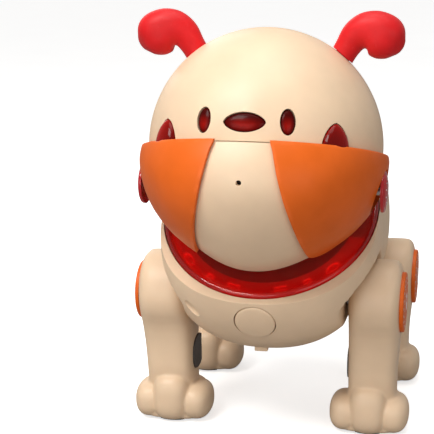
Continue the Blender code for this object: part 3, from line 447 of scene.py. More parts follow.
def jewel(name, mid, rim, glow):
    """Deep red lens with painted light: painted shade towards its rim and top, and a painted glow low in the middle."""
    k = Nodes(name)
    at = []
    for n in ("rim", "low"):
        a = k.t.nodes.new("ShaderNodeAttribute")
        a.attribute_name = n
        at.append(a.outputs["Fac"])
    edge = k.remap(at[0], 0.35, 0.98, 0, 1)
    low = k.remap(at[1], 0.25, 0.85, 0, 1)
    wob = k.remap(k.noise(420, 2), 0.3, 0.7, 0.8, 1.15)
    # painted light: core is highest low in the middle and falls to zero at the rim and top, mixing painted glow and
    # painted shade
    core = k.math("MULTIPLY", k.math("MULTIPLY", k.math("SUBTRACT", 1.0, edge), low), wob, clamp=True)
    k.set(Base_Color=k.mix(core, rim, mid), Roughness=k.remap(k.noise(900, 4, 0.7), 0.35, 0.75, 0.20, 0.30))
    k.p.inputs["Emission Color"].default_value = (*glow, 1)
    # the same painted glow also drives a faint emission
    k.link(k.math("MULTIPLY", core, 0.14), k.p.inputs["Emission Strength"])
    k.p.inputs["IOR"].default_value = 1.5
    k.p.inputs["Specular IOR Level"].default_value = 0.07
    k.p.inputs["Coat Weight"].default_value = 0.03
    k.p.inputs["Coat Roughness"].default_value = 0.05
    k.set(Normal=k.bump(k.noise(150, 2), 0.0002, 0.3))
    return k.m


def lit(name, colour, strength):
    """A pale moulding given a painted glow: emission that stands in for light inside tinted plastic, though the
    moulding is no lamp.
    """
    k = Nodes(name)
    c = Vector(colour)
    col = k.mix(k.remap(k.noise(300, 3), 0.3, 0.7, 0, 1), tuple(c * 0.75), colour)
    k.set(Base_Color=col, Roughness=k.remap(k.noise(800, 2), 0.3, 0.7, 0.35, 0.5))
    # painted light: the colour also feeds emission, a painted glow
    k.link(col, k.p.inputs["Emission Color"])
    k.p.inputs["Emission Strength"].default_value = strength
    k.set(Normal=k.bump(k.noise(600, 2), 0.0001, 0.4))
    return k.m


def soft_rubber(name, colour):
    k = Nodes(name)
    c = Vector(colour)
    col = k.mix(k.remap(k.noise(90, 4), 0.3, 0.7, 0, 1), tuple(c * 0.86), tuple(min(1, v * 1.05) for v in c))
    dust = k.remap(k.noise(420, 6, 0.7), 0.60, 0.78, 0, 0.10)
    col = k.mix(dust, col, (0.85, 0.25, 0.22))
    k.set(Base_Color=col, Roughness=k.remap(k.noise(600, 3), 0.3, 0.7, 0.40, 0.52))
    k.p.inputs["Sheen Weight"].default_value = 0.06
    k.p.inputs["Sheen Roughness"].default_value = 0.5
    k.p.inputs["Specular IOR Level"].default_value = 0.28
    k.p.inputs["Subsurface Weight"].default_value = 0.10
    k.p.inputs["Subsurface Scale"].default_value = 0.003
    k.p.inputs["Subsurface Radius"].default_value = (1.0, 0.15, 0.1)
    k.set(Normal=k.bump(k.noise(2800, 3, 0.6), 0.00004, 0.8))
    return k.m


def metal(name, colour, rough=0.28):
    k = Nodes(name)
    m = k.t.nodes.new("ShaderNodeMapping")
    m.inputs["Scale"].default_value = (1, 1, 60)
    k.link(k.co, m.inputs["Vector"])
    brush = k.noise(260, 4, 0.6, m.outputs[0])
    k.set(Base_Color=k.mix(brush, tuple(Vector(colour) * 0.8), colour), Metallic=1.0,
          Roughness=k.remap(brush, 0.3, 0.7, rough, rough + 0.16))
    k.set(Normal=k.bump(brush, 0.00003, 0.6, k.round_edges(0.0002)))
    return k.m


def circuit(name):
    """Green solder mask with tracks and pads."""
    k = Nodes(name)
    br = k.t.nodes.new("ShaderNodeTexBrick")
    br.inputs["Scale"].default_value = 160
    br.inputs["Mortar Size"].default_value = 0.03
    k.link(k.co, br.inputs["Vector"])
    br.inputs["Color1"].default_value = (0.015, 0.16, 0.05, 1)
    br.inputs["Color2"].default_value = (0.02, 0.2, 0.07, 1)
    br.inputs["Mortar"].default_value = (0.09, 0.33, 0.12, 1)
    vo = k.t.nodes.new("ShaderNodeTexVoronoi")
    vo.inputs["Scale"].default_value = 240
    k.link(k.co, vo.inputs["Vector"])
    pad = k.remap(vo.outputs["Distance"], 0.12, 0.16, 1, 0)
    k.set(Base_Color=k.mix(pad, br.outputs["Color"], (0.75, 0.72, 0.62)), Roughness=k.remap(pad, 0, 1, 0.4, 0.25), Metallic=k.math("MULTIPLY", pad, 0.9))
    k.set(Normal=k.bump(pad, 0.0001, 0.6))
    return k.m


CREAM_C = (0.80, 0.595, 0.405)
CREAM = satin("cream_plastic", CREAM_C, 0.40, 0.955, sss=0.06)
ORANGE = satin("orange_plastic", (0.76, 0.127, 0.006), 0.42, 0.92, spec=0.26)
DARK = satin("dark_plastic", (0.070, 0.060, 0.057), 0.48, 0.85)
NYLON = satin("white_nylon", (0.78, 0.78, 0.74), 0.45, 0.95)
BLACK = satin("black_plastic", (0.018, 0.018, 0.019), 0.45, 0.8)
EAR = soft_rubber("ear_rubber", (0.68, 0.006, 0.009))
SOLE = satin("sole_rubber", (0.035, 0.034, 0.033), 0.75, 0.8, grain=0.0001)
LENS = clear_red("lens_red", (0.26, 0.006, 0.004), (0.07, 0.0015, 0.0015), 0.15, 0.05)
# the fang's rim factors make its painted glow strong: glancing edges painted bright red over a dark centre
FANG = clear_red("fang_red", (0.15, 0.0022, 0.001), (0.07, 0.0010, 0.001), 0.22, 0.09, 0.22, (0.9, 4.4, 0.0))
COLLAR = clear_red("collar_red", (0.80, 0.016, 0.012), (0.56, 0.008, 0.008), 0.72, 0.04)
CAP = clear_red("cap_red", (0.56, 0.018, 0.024), (0.36, 0.008, 0.012), 0.20, 0.12)
STEEL = metal("steel", (0.62, 0.62, 0.63))
TIN = metal("motor_can", (0.70, 0.69, 0.66), 0.34)
BOARD = circuit("circuit_board")
JEWEL = jewel("eye_red", (0.27, 0.0045, 0.002), (0.055, 0.0009, 0.0008), (0.8, 0.01, 0.0))
# painted light: these two materials give the collar's strip, posts and window frames a painted glow; none of them is a
# lamp
REFLECTOR_PAINTED_LIGHT = lit("collar_strip_painted_glow", (0.85, 0.06, 0.05), 0.42)
MOULDING_PAINTED_LIGHT = lit("collar_moulding_painted_glow", (0.95, 0.35, 0.30), 0.9)
PRINT = satin("white_print", (0.86, 0.85, 0.82), 0.5, 0.96, grain=0.00002)
CELL = satin("cell_sleeve", (0.08, 0.16, 0.42), 0.3, 0.85)


def place(ob, name, body, mat, nodes=(), angle=38, weighted=True):
    """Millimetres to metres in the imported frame, smooth shading, material, body."""
    ob.name = name
    ob.data.name = name
    ob.data.transform(Matrix.Scale(0.001, 4) @ Matrix.Translation((0, SHIFT_Y, 0)))
    ob.data.materials.clear()
    ob.data.materials.append(mat)
    for p in ob.data.polygons:
        p.material_index = 0
    ob.data.shade_smooth()
    ob.data.set_sharp_from_angle(angle=math.radians(angle))
    if weighted:
        w = ob.modifiers.new("normals", "WEIGHTED_NORMAL")
        w.keep_sharp = True
        w.weight = 60
    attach(ob, body)
    if nodes:
        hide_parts(*nodes)
    return ob


# ------------------------------------------------------------------ frames
t = math.radians(HEAD_TILT)
HEAD_M = Matrix.Translation(HEAD_C) @ Matrix(((1, 0, 0, 0), (0, math.cos(t), math.sin(t), 0), (0, -math.sin(t), math.cos(t), 0), (0, 0, 0, 1)))
nu = math.radians(NECK_TILT)
NECK = Vector((0, -math.sin(nu), math.cos(nu)))
DOWN = Vector((0, -math.cos(nu), -math.sin(nu)))
EX = Vector((1, 0, 0))
HC = Vector(HEAD_C)
CC = Vector(COLLAR_C)
AX = HC - NECK * (HC - CC).dot(NECK)
NECK_M = Matrix((EX, -DOWN, NECK)).transposed().to_4x4()
rt = math.radians(RIM_TILT)
RIM_AX = Vector((0, -math.sin(rt), math.cos(rt)))
RIM_DOWN = Vector((0, -math.cos(rt), -math.sin(rt)))
SEAM_N = (HEAD_M.to_3x3() @ Vector((0, 0, 1))).normalized()
PIV = HEAD_M @ Vector((0, *JAW_PIVOT))


def neck_at(p):
    return Matrix.Translation(p) @ NECK_M


def arc(r, z0, z1, n):
    a0, a1 = math.asin(max(-1, min(1, z0 / r))), math.asin(max(-1, min(1, z1 / r)))
    return [(r * math.cos(a0 + (a1 - a0) * k / n), r * math.sin(a0 + (a1 - a0) * k / n)) for k in range(n + 1)]


def radial(az, z, r=HEAD_R):
    h = math.sqrt(max(r * r - z * z, 0))
    a = math.radians(az)
    return Vector((h * math.sin(a), -h * math.cos(a), z)).normalized()


def oval(w, h, n=64, lens=False, grow=0.0):
    pts = []
    for k in range(n):
        a = 2 * math.pi * k / n
        c, s = math.cos(a), math.sin(a)
        if lens:
            pts.append((c * (w / 2 + grow), math.copysign(abs(s) ** 1.25, s) * (h / 2 + grow) * (1.0 if s < 0 else 0.96)))
        else:
            pts.append((c * (w / 2 + grow), s * (h / 2 + grow)))
    return pts


FACE = ((EYE_AZ, EYE_Z, EYE_W, EYE_H, False), (-EYE_AZ, EYE_Z, EYE_W, EYE_H, False), (0, NOSE_Z, NOSE_W, NOSE_H, True))


def fang_w(z, tip=6.8, base=7.1):
    """Half the width of a tooth at a height above the head's middle: a pointed arch."""
    k = (z + 4.0) / (tip + 4.0)
    return base if k <= 0 else base * max(0.0, 1 - k ** 1.8) ** 0.64


def fang_notch(side, grow):
    d = radial(side * FANG_AZ, 0)
    zs = [-14.0] + [-4.0 + 10.8 * math.sin(math.pi / 2 * k / 22) for k in range(23)]
    right = [(fang_w(z) + grow * (0.35 if z > 6.79 else 1.0), z + (grow if z > 6.79 else grow * 0.55 * max(0, (z + 4) / 10.8))) for z in zs]
    pts = right + [(-x, y) for x, y in right[::-1]]
    return move(prism("n", pts, 45, 70), aim(d))


# ------------------------------------------------------------------ head dome
def dome():
    ri = HEAD_R - DOME_WALL
    o = arc(HEAD_R, SEAM_Z, HEAD_R, 44)
    o[-1] = (0, HEAD_R)
    i = arc(ri, SEAM_Z, ri, 24)[::-1]
    i[0] = (0, ri)
    # softened rim
    o[0] = (o[0][0] - 0.35, SEAM_Z)
    o.insert(1, (math.sqrt(HEAD_R ** 2 - (SEAM_Z + 0.35) ** 2), SEAM_Z + 0.35))
    ob = revolve("dome", o + i, 128)
    for az, z, w, h, lens in FACE:
        boolean(ob, move(prism("p", oval(w, h, lens=lens, grow=0.35), 45, 65), aim(radial(az, z))))
    for side in (1, -1):
        boolean(ob, fang_notch(side, 0.45))
        m = HEAD_M.inverted() @ aim((side * EAR_AX.x, EAR_AX.y, EAR_AX.z), HC)
        boolean(ob, move(cyl("eh", 4.4, 40, 70, 40), m))
    return move(ob, HEAD_M)


EAR_BASE = Vector((35.8, 7.6, 43.5))
EAR_AX = EAR_BASE.normalized()
place(dome(), "head_dome_skin", "head", CREAM, ["head_dome"])


# lenses: crowned plugs seated a little below the dome's skin, with a flat inner pane behind
def lens_plug(az, z, w, h, lens):
    n = 64
    rows = []
    levels = ((1.0, 52.6), (1.0, 54.9), (0.965, 55.25), (0.80, 55.62), (0.55, 55.86), (0.28, 55.97))
    outline = oval(w, h, n, lens, 0.0)
    verts, faces = [], []
    for f, r in levels:
        rows.append(len(verts))
        verts += [(x * f, y * f, r - (x * x + y * y) * f * f * 0.0085) for x, y in outline]
    top = len(verts)
    verts.append((0, 0, 56.0))
    bot = len(verts)
    verts.append((0, 0, 52.6))
    for a, b in zip(rows, rows[1:]):
        faces += [(a + i, a + (i + 1) % n, b + (i + 1) % n, b + i) for i in range(n)]
    faces += [(rows[-1] + i, rows[-1] + (i + 1) % n, top) for i in range(n)]
    faces += [(rows[0] + (i + 1) % n, rows[0] + i, bot) for i in range(n)]
    ob = make("lens", verts, faces)
    # rim and low are the masks for the lens material's painted shade towards rim and top and its painted glow low in
    # the middle
    rim = ob.data.attributes.new("rim", "FLOAT", "POINT")
    for v in ob.data.vertices:
        rim.data[v.index].value = min(1.0, math.hypot(v.co.x / (w / 2), v.co.y / (h / 2)))
    low = ob.data.attributes.new("low", "FLOAT", "POINT")
    for v in ob.data.vertices:
        low.data[v.index].value = 0.5 - v.co.y / h
    return move(ob, HEAD_M @ aim(radial(az, z)))


def guide_plate():
    ri = HEAD_R - DOME_WALL
    ob = revolve("g", arc(ri - 0.7, -2.4, 16, 10) + arc(ri - 2.7, -2.4, 16, 10)[::-1], 96)
    boolean(ob, move(prism("w", [(-80, 80), (-80, 6), (0, -6), (80, 6), (80, 80)], -20, 40), Matrix.Translation((0, -18, 0))))
    for side in (1, -1):
        boolean(ob, fang_notch(side, 2.6))
    return move(ob, HEAD_M)


place(guide_plate(), "face_guide_plate", "head", LENS, ["face_light_guide"])
for nm, f in zip(("eye_lens_left", "eye_lens_right", "nose_lens"), FACE):
    place(lens_plug(*f), nm, "head", JEWEL, [])

# lower bowl
bo = arc(BASE_R, -BASE_R, SEAM_Z - 0.4, 36)
bo[0] = (0, -BASE_R)
bi = arc(BASE_R - 2.6, -(BASE_R - 2.6), SEAM_Z - 0.4, 20)[::-1]
bi[-1] = (0, -(BASE_R - 2.6))
bowl = move(revolve("bowl", bi + bo, 96), HEAD_M)
boolean(bowl, move(cyl("nh", 18.0, -70, -40, 48), neck_at(HC)))
boolean(bowl, move(cyl("ph", 2.4, -70, 70, 24), Matrix.Translation(PIV) @ XROT))
place(bowl, "head_bowl_skin", "head", CREAM, ["head_bowl"])


# ------------------------------------------------------------------ muzzle and jowls
def bulge(d_local):
    az = math.degrees(math.atan2(d_local.x, -d_local.y))
    el = math.degrees(math.asin(max(-1, min(1, d_local.z))))
    hor = math.exp(-(abs(az) / 56.0) ** 2.2) if abs(d_local.z) < 0.999 else 1
    k = min(1, max(0, (-el - 50) / 35))
    hor = hor * (1 - k) + k * math.exp(-(abs(d_local.x) / 0.62) ** 2)
    e = -el
    if e < 28:
        v = 0.12 + 0.88 * math.sin(math.radians(90 * max(0, e - 2) / 26))
    else:
        v = 1.0 - 0.42 * ((e - 28) / 50) ** 1.5
    return 9.6 * hor * v


HEAD_INV = HEAD_M.to_3x3().inverted()
HEEL = math.radians(JAW_OPEN + 0.9)


def muzzle_r(d, off=0.0):
    return 56.7 + bulge((HEAD_INV @ d).normalized()) + off


def ndir(psi, eps):
    ps, ep = math.radians(psi), math.radians(eps)
    return math.cos(ep) * (math.sin(ps) * EX + math.cos(ps) * RIM_DOWN) + math.sin(ep) * RIM_AX


def eps_range(psi, top=SEAM_Z - 0.35, drop=RIM_DROP):
    def solve(fn, a, b):
        fa = fn(a)
        for _ in range(26):
            mid = (a + b) / 2
            if (fn(mid) > 0) == (fa > 0):
                a = mid
            else:
                b = mid
        return a
    f_rim = lambda e: muzzle_r(ndir(psi, e)) * math.sin(math.radians(e)) + drop

    def f_top(e):
        # behind the hinge the top edge slopes down, clear of the dome when the mouth opens
        q = HEAD_INV @ (ndir(psi, e) * muzzle_r(ndir(psi, e)))
        over = (q.z - JAW_PIVOT[1]) * math.cos(HEEL) + (q.y - JAW_PIVOT[0]) * math.sin(HEEL)
        return max(q.z - top, over - (top - JAW_PIVOT[1]))
    return solve(f_rim, -40, 20), solve(f_top, -60, 80)


XB = [(-60, 27.5), (-50, 25.0), (-42, 22.6), (-30, 19.0), (-18, 15.9), (-8, 13.6), (-4, 12.2), (10, 11.0)]


def xb(z):
    return float(np.interp(z, [p[0] for p in XB], [p[1] for p in XB]))


PSI_END = 90.0


def psi_edge(frac, top, drop):
    a, b = 0.0, 75.0
    for _ in range(22):
        mid = (a + b) / 2
        e0, e1 = eps_range(mid, top, drop)
        d = ndir(mid, e0 + (e1 - e0) * frac)
        p = d * muzzle_r(d)
        if p.x < xb((HEAD_INV @ p).z):
            a = mid
        else:
            b = mid
    return a


def muzzle_grid(psis_of_row, fracs, off_fns, top=SEAM_Z - 0.35, drop=RIM_DROP):
    grids = [[] for _ in off_fns]
    for fr in fracs:
        rows = [[] for _ in off_fns]
        for psi in psis_of_row(fr):
            e0, e1 = eps_range(psi, top, drop)
            d = ndir(psi, e0 + (e1 - e0) * fr)
            r = muzzle_r(d)
            for row, fn in zip(rows, off_fns):
                row.append(HC + d * fn(r))
        for g, row in zip(grids, rows):
            g.append(row)
    return grids


def spaced(n, ends=0.012):
    s = [0, ends] + [ends + (1 - 2 * ends) * k / (n - 1) for k in range(1, n - 1)] + [1 - ends, 1]
    return s


fr = spaced(26)
ps = [PSI_END * (-1 + 2 * v) for v in spaced(84, 0.006)]
mo, mi = muzzle_grid(lambda f: ps, fr, (lambda r: r, lambda r: max(54.4, r - 2.2)))
muzzle = strip_shell("muzzle", mo, mi)
MIC_DIR = (HEAD_M.to_3x3() @ Vector((0, -math.cos(math.radians(20)), -math.sin(math.radians(20))))).normalized()
MIC_R = muzzle_r(MIC_DIR)


def fang_seat(side, target):
    d = radial(side * FANG_AZ, 0.0)
    out = Vector((d.x, d.y, 0)).normalized()
    ob = solid_rev("seat", [(0, -13.6), (5.1, -13.6), (7.0, -8.0), (7.6, -3.0), (7.6, 6.0), (0, 6.0)], 48)
    sq = Matrix.Rotation(math.atan2(out.y, out.x), 4, "Z") @ Matrix.Diagonal((0.64, 1, 1, 1))
    move(ob, HEAD_M @ Matrix.Translation(out * 55.2) @ sq)
    boolean(target, ob)


boolean(muzzle, move(cyl("mh", 1.2, 40, 80, 32), aim(MIC_DIR, HC)))
for side in (1, -1):
    boolean(muzzle, move(cyl("ph", 2.4, 40, 75, 24), Matrix.Translation(PIV) @ Matrix.Rotation(side * math.pi / 2, 4, "Y")))
    fang_seat(side, muzzle)
bevel(muzzle, 0.55, 3, 50)
place(muzzle, "muzzle_skin", "jaw", CREAM, ["muzzle_shell"])

JTOP, JDROP = SEAM_Z + 0.9, RIM_DROP + 0.6


def jowl_psis(f, n=50):
    a = psi_edge(f, JTOP, JDROP)
    if f < 0.15:
        a += 11.0 * (1 - math.sqrt(1 - (1 - f / 0.15) ** 2))
    return [a + (PSI_END - a) * v for v in spaced(n, 0.012)]


JROWS = [0, 0.01, 0.025, 0.045, 0.07, 0.1, 0.13] + [0.13 + 0.87 * k / 26 for k in range(1, 26)] + [0.988, 1.0]
jo, ji = muzzle_grid(jowl_psis, JROWS, (lambda r: r + 2.2, lambda r: r + 0.55), JTOP, JDROP)
for i, row in enumerate(jo):
    for j, q in enumerate(row):
        u, v = j / (len(row) - 1), JROWS[i]
        puff = 1.25 * (min(1, u / 0.22) ** 0.6) * (min(1, (1 - u) / 0.3) ** 0.7) * (min(1, v / 0.3) ** 0.6) * (min(1, (1 - v) / 0.25) ** 0.6)
        row[j] = q + (q - HC).normalized() * puff
jowl = strip_shell("jowl", jo, ji)
boolean(jowl, move(cyl("ch", CAP_R + 0.4, 40, 80, 56), Matrix.Translation(PIV) @ XROT))
fang_seat(1, jowl)
bevel(jowl, 0.8, 4, 50)
place(move(copy(jowl, "jr"), MIRROR), "jowl_skin_right", "jaw", ORANGE, ["jowl_right"])
place(jowl, "jowl_skin_left", "jaw", ORANGE, ["jowl_left"])


def cheek_cap():
    x = CAP_X
    ob = solid_rev("cap", [(0, x + 0.3), (CAP_R, x + 0.3), (CAP_R, x + 1.3), (CAP_R - 0.25, x + 1.75), (CAP_R - 0.8, x + 2.05), (CAP_R - 1.5, x + 2.15),
                           (CAP_R - 1.8, x + 1.95), (CAP_R - 2.3, x + 1.95), (CAP_R - 2.7, x + 2.45), (CAP_R * 0.5, x + 2.95), (CAP_R * 0.25, x + 3.12), (0, x + 3.2)], 72)
    boolean(ob, cyl("bore", 2.3, x - 4, x + 1.0, 24))
    return move(ob, Matrix.Translation(PIV) @ XROT)


c = cheek_cap()
place(move(copy(c), MIRROR), "cheek_cap_skin_right", "jaw", CAP, ["cheek_cap_right"])
place(c, "cheek_cap_skin_left", "jaw", CAP, ["cheek_cap_left"])


def dots(name, spots, z, flat=0.05):
    """Printed marks: thin ovals (x, y, rx, ry, turn) lying at height z(x, y)."""
    verts, faces = [], []
    n = 20
    for x, y, rx, ry, turn in spots:
        base = len(verts)
        for h in (0, flat):
            for k in range(n):
                a = 2 * math.pi * k / n
                u, v = rx * math.cos(a), ry * math.sin(a)
                px, py = x + u * math.cos(turn) - v * math.sin(turn), y + u * math.sin(turn) + v * math.cos(turn)
                verts.append((px, py, z(px, py) + h - 0.02))
        faces.append(tuple(range(base + n, base + 2 * n)))
        faces.append(tuple(range(base, base + n))[::-1])
        faces += [(base + i, base + (i + 1) % n, base + n + (i + 1) % n, base + n + i) for i in range(n)]
    return make(name, verts, faces)


def cap_print():
    spots = [(5.6 * math.cos(a), 5.6 * math.sin(a), 0.42, 0.42, 0) for a in [2 * math.pi * k / 10 for k in range(10)]]
    z = lambda x, y: CAP_X + float(np.interp(math.hypot(x, y), (0, CAP_R * 0.25, CAP_R * 0.5, CAP_R - 2.7), (3.2, 3.12, 2.95, 2.45))) + 0.03
    return move(dots("cp", spots, z), Matrix.Translation(PIV) @ XROT)


c = cap_print()
place(move(copy(c), MIRROR), "cheek_print_right", "jaw", PRINT, [])
place(c, "cheek_print_left", "jaw", PRINT, [])


# ------------------------------------------------------------------ fangs
for side, nm in ((1, "left"), (-1, "right")):
    d = radial(side * FANG_AZ, 0.0)
    prof = [(0, -13.0), (4.6, -13.0), (6.4, -8.0)] + [(fang_w(z), z) for z in [-4.0 + 10.8 * math.sin(math.pi / 2 * k / 18) for k in range(18)]] + [(0, 6.8)]
    f = solid_rev("fang", prof, 48)
    out = Vector((d.x, d.y, 0)).normalized()
    sq = Matrix.Rotation(math.atan2(out.y, out.x), 4, "Z") @ Matrix.Diagonal((0.60, 1, 1, 1))
    move(f, HEAD_M @ Matrix.Translation(out * 55.2) @ sq)
    boolean(f, move(cyl("core", 54.0, -60, 60, 96), HEAD_M))
    place(f, "fang_skin_" + nm, "jaw", FANG, ["fang_" + nm], angle=50)

# ------------------------------------------------------------------ ears
EAR_LINE = [((-1.2, -1.8), 5.9), ((2.2, 3.9), 6.1), ((5.8, 8.9), 7.3), ((10.2, 11.1), 8.9), ((14.5, 10.9), 10.2),
            ((18.0, 9.4), 10.8), ((21.4, 7.5), 10.3), ((24.4, 5.6), 8.2), ((26.4, 4.3), 5.0)]


def ear(side):
    # a smooth line through the stations, then a soft skin
    P = np.array([[p[0], p[1], r] for p, r in EAR_LINE])
    tt = np.linspace(0, len(P) - 1, 40)
    k = np.arange(len(P))
    # Catmull-Rom through the stations
    def cr(col, x):
        i = int(min(max(math.floor(x), 0), len(P) - 2))
        f = x - i
        g = lambda j: col[min(max(j, 0), len(P) - 1)]
        a, b, c2, d2 = g(i - 1), g(i), g(i + 1), g(i + 2)
        return 0.5 * (2 * b + (c2 - a) * f + (2 * a - 5 * b + 4 * c2 - d2) * f * f + (3 * b - a - 3 * c2 + d2) * f ** 3)
    S = [(cr(P[:, 0], x), cr(P[:, 1], x), cr(P[:, 2], x)) for x in tt]
    n = 36
    verts, rings = [], []
    for q, (x, z, r) in enumerate(S):
        a, b = S[max(q - 1, 0)], S[min(q + 1, len(S) - 1)]
        tan = Vector((b[0] - a[0], 0, b[1] - a[1])).normalized()
        sv = Vector((tan.z, 0, -tan.x))
        ring = []
        for i in range(n):
            an = 2 * math.pi * i / n
            # a shallow valley down the inner face, like a folded ear
            dent = 1.0 - 0.10 * math.exp(-((an - 1.5 * math.pi) / 0.5) ** 2) * min(1, max(0, (q - 8) / 12))
            ring.append(len(verts))
            verts.append(Vector((x, 0, z)) + sv * (r * math.cos(an)) + Vector((0, 1, 0)) * (r * 0.82 * math.sin(an) * dent))
        rings.append(ring)
    tipc = Vector((S[-1][0], 0, S[-1][1]))
    tdir = Vector((S[-1][0] - S[-2][0], 0, S[-1][1] - S[-2][1])).normalized()
    for f, h in ((0.72, 1.0), (0.4, 1.6)):
        ring = []
        for i in range(n):
            ring.append(len(verts))
            verts.append(tipc + tdir * h + (verts[rings[len(S) - 1][i]] - tipc) * f)
        rings.append(ring)
    tip = len(verts)
    verts.append(tipc + tdir * 1.9)
    faces = [tuple(rings[0][::-1])]
    for a, b in zip(rings, rings[1:]):
        faces += [(a[i], a[(i + 1) % n], b[(i + 1) % n], b[i]) for i in range(n)]
    faces += [(rings[-1][i], rings[-1][(i + 1) % n], tip) for i in range(n)]
    ob = make("ear", verts, faces)
    move(ob, Matrix.Translation(HC + EAR_AX * 56.0))
    remesh(ob, 0.7, 5)
    boolean(ob, ellipsoid("clear", HC, (56.35, 56.35, 56.35), 96, 64))
    stem = solid_rev("stem", [(0, 48.6), (5.6, 48.6), (5.6, 50.8), (3.95, 52.0), (3.95, 60.0), (0, 60.0)], 24)
    boolean(ob, move(stem, aim(EAR_AX, HC)), "UNION")
    if side < 0:
        move(ob, MIRROR)
    return ob


e = ear(1)
place(move(copy(e), MIRROR), "ear_skin_right", "ear_right", EAR, ["ear_right"], angle=55)
place(e, "ear_skin_left", "ear_left", EAR, ["ear_left"], angle=55)

# ------------------------------------------------------------------ torso
def torso_solid(name, shrink=0.0, nu_=120, rows=(34, 60)):
    a, b = BODY_R - shrink, BODY_BACK - shrink
    pc, pf = 2.3, 2.35
    stations = []
    for k in range(rows[0], 0, -1):
        al = math.radians(90 * k / (rows[0] + 1))
        stations.append((-(CHEST - shrink) * math.sin(al) ** (2 / pf), math.cos(al) ** (2 / pf)))
    stations.append((0.0, 1.0))
    for k in range(1, rows[1]):
        s = math.sin(math.radians(90 * k / rows[1]))
        stations.append((b * s, (1 - s ** 6) ** (1 / 2.4)))
    verts, rings = [(0, -(CHEST - shrink), 0)], []
    for y, f in stations:
        sink = -12.0 * (max(y, 0) / BODY_BACK) ** 1.5
        ring = []
        for i in range(nu_):
            an = 2 * math.pi * i / nu_
            c, s = math.cos(an), math.sin(an)
            x = (BODY_W - shrink) * f * math.copysign(abs(c) ** (2 / pc), c)
            z = (a if s > 0 else a * BELLY / BODY_R) * f * math.copysign(abs(s) ** (2 / pc), s) + sink
            ring.append(len(verts))
            verts.append((x, y, z))
        rings.append(ring)
    end = len(verts)
    verts.append((0, b, -12.0))
    faces = []
    for r0, r1 in zip(rings, rings[1:]):
        for i in range(nu_):
            j = (i + 1) % nu_
            faces.append((r0[i], r0[j], r1[j], r1[i]))
    for i in range(nu_):
        j = (i + 1) % nu_
        faces.append((0, rings[0][j], rings[0][i]))
        faces.append((end, rings[-1][i], rings[-1][j]))
    ob = make(name, verts, faces)
    ob.data.transform(Matrix.Translation(BODY_C))
    return ob


def hip_recess(hip, grow=0.0, x0=38.6, fine=40):
    y, z = hip
    r = HIP_RAD + 3.2 + grow
    ahead = (8.4 if y < 0 else 4.0)
    pts = []
    for k in range(0, fine + 1):
        an = math.radians(180 * k / fine)
        c = math.cos(an)
        pts.append((y + (r + 3.0) * c if c > 0 else y + (r + ahead) * c, z + r * math.sin(an)))
    pts.append((y - r - ahead, z - 14))
    pts.append((y - r - ahead - 9, z - 70))
    pts.append((y + r + 12, z - 70))
    pts.append((y + r + 3, z - 14))
    return move(prism("r", pts, x0 - grow, 90), YZX)


FORWARD = Matrix.Diagonal((1, 1.04, 1, 1))


def ring_at(p):
    """The collar's own frame, drawn out slightly to the front."""
    return neck_at(p) @ FORWARD


BUT_DIR = Vector((0, -math.cos(math.radians(26.5)), -math.sin(math.radians(26.5)))).normalized()
lo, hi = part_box("chest_button_switch")
# the switch sits on the button's axis, its plunger 11 mm and its foot 15 mm below the skin
bc = (lo + hi) * 500.0
BUT_AT = Vector((0, bc[1] - SHIFT_Y, bc[2])) + BUT_DIR * 13.0
BUT_AT += Vector((0, 0.446, -0.895)) * 2.0
BUT_M = aim(BUT_DIR, BUT_AT)


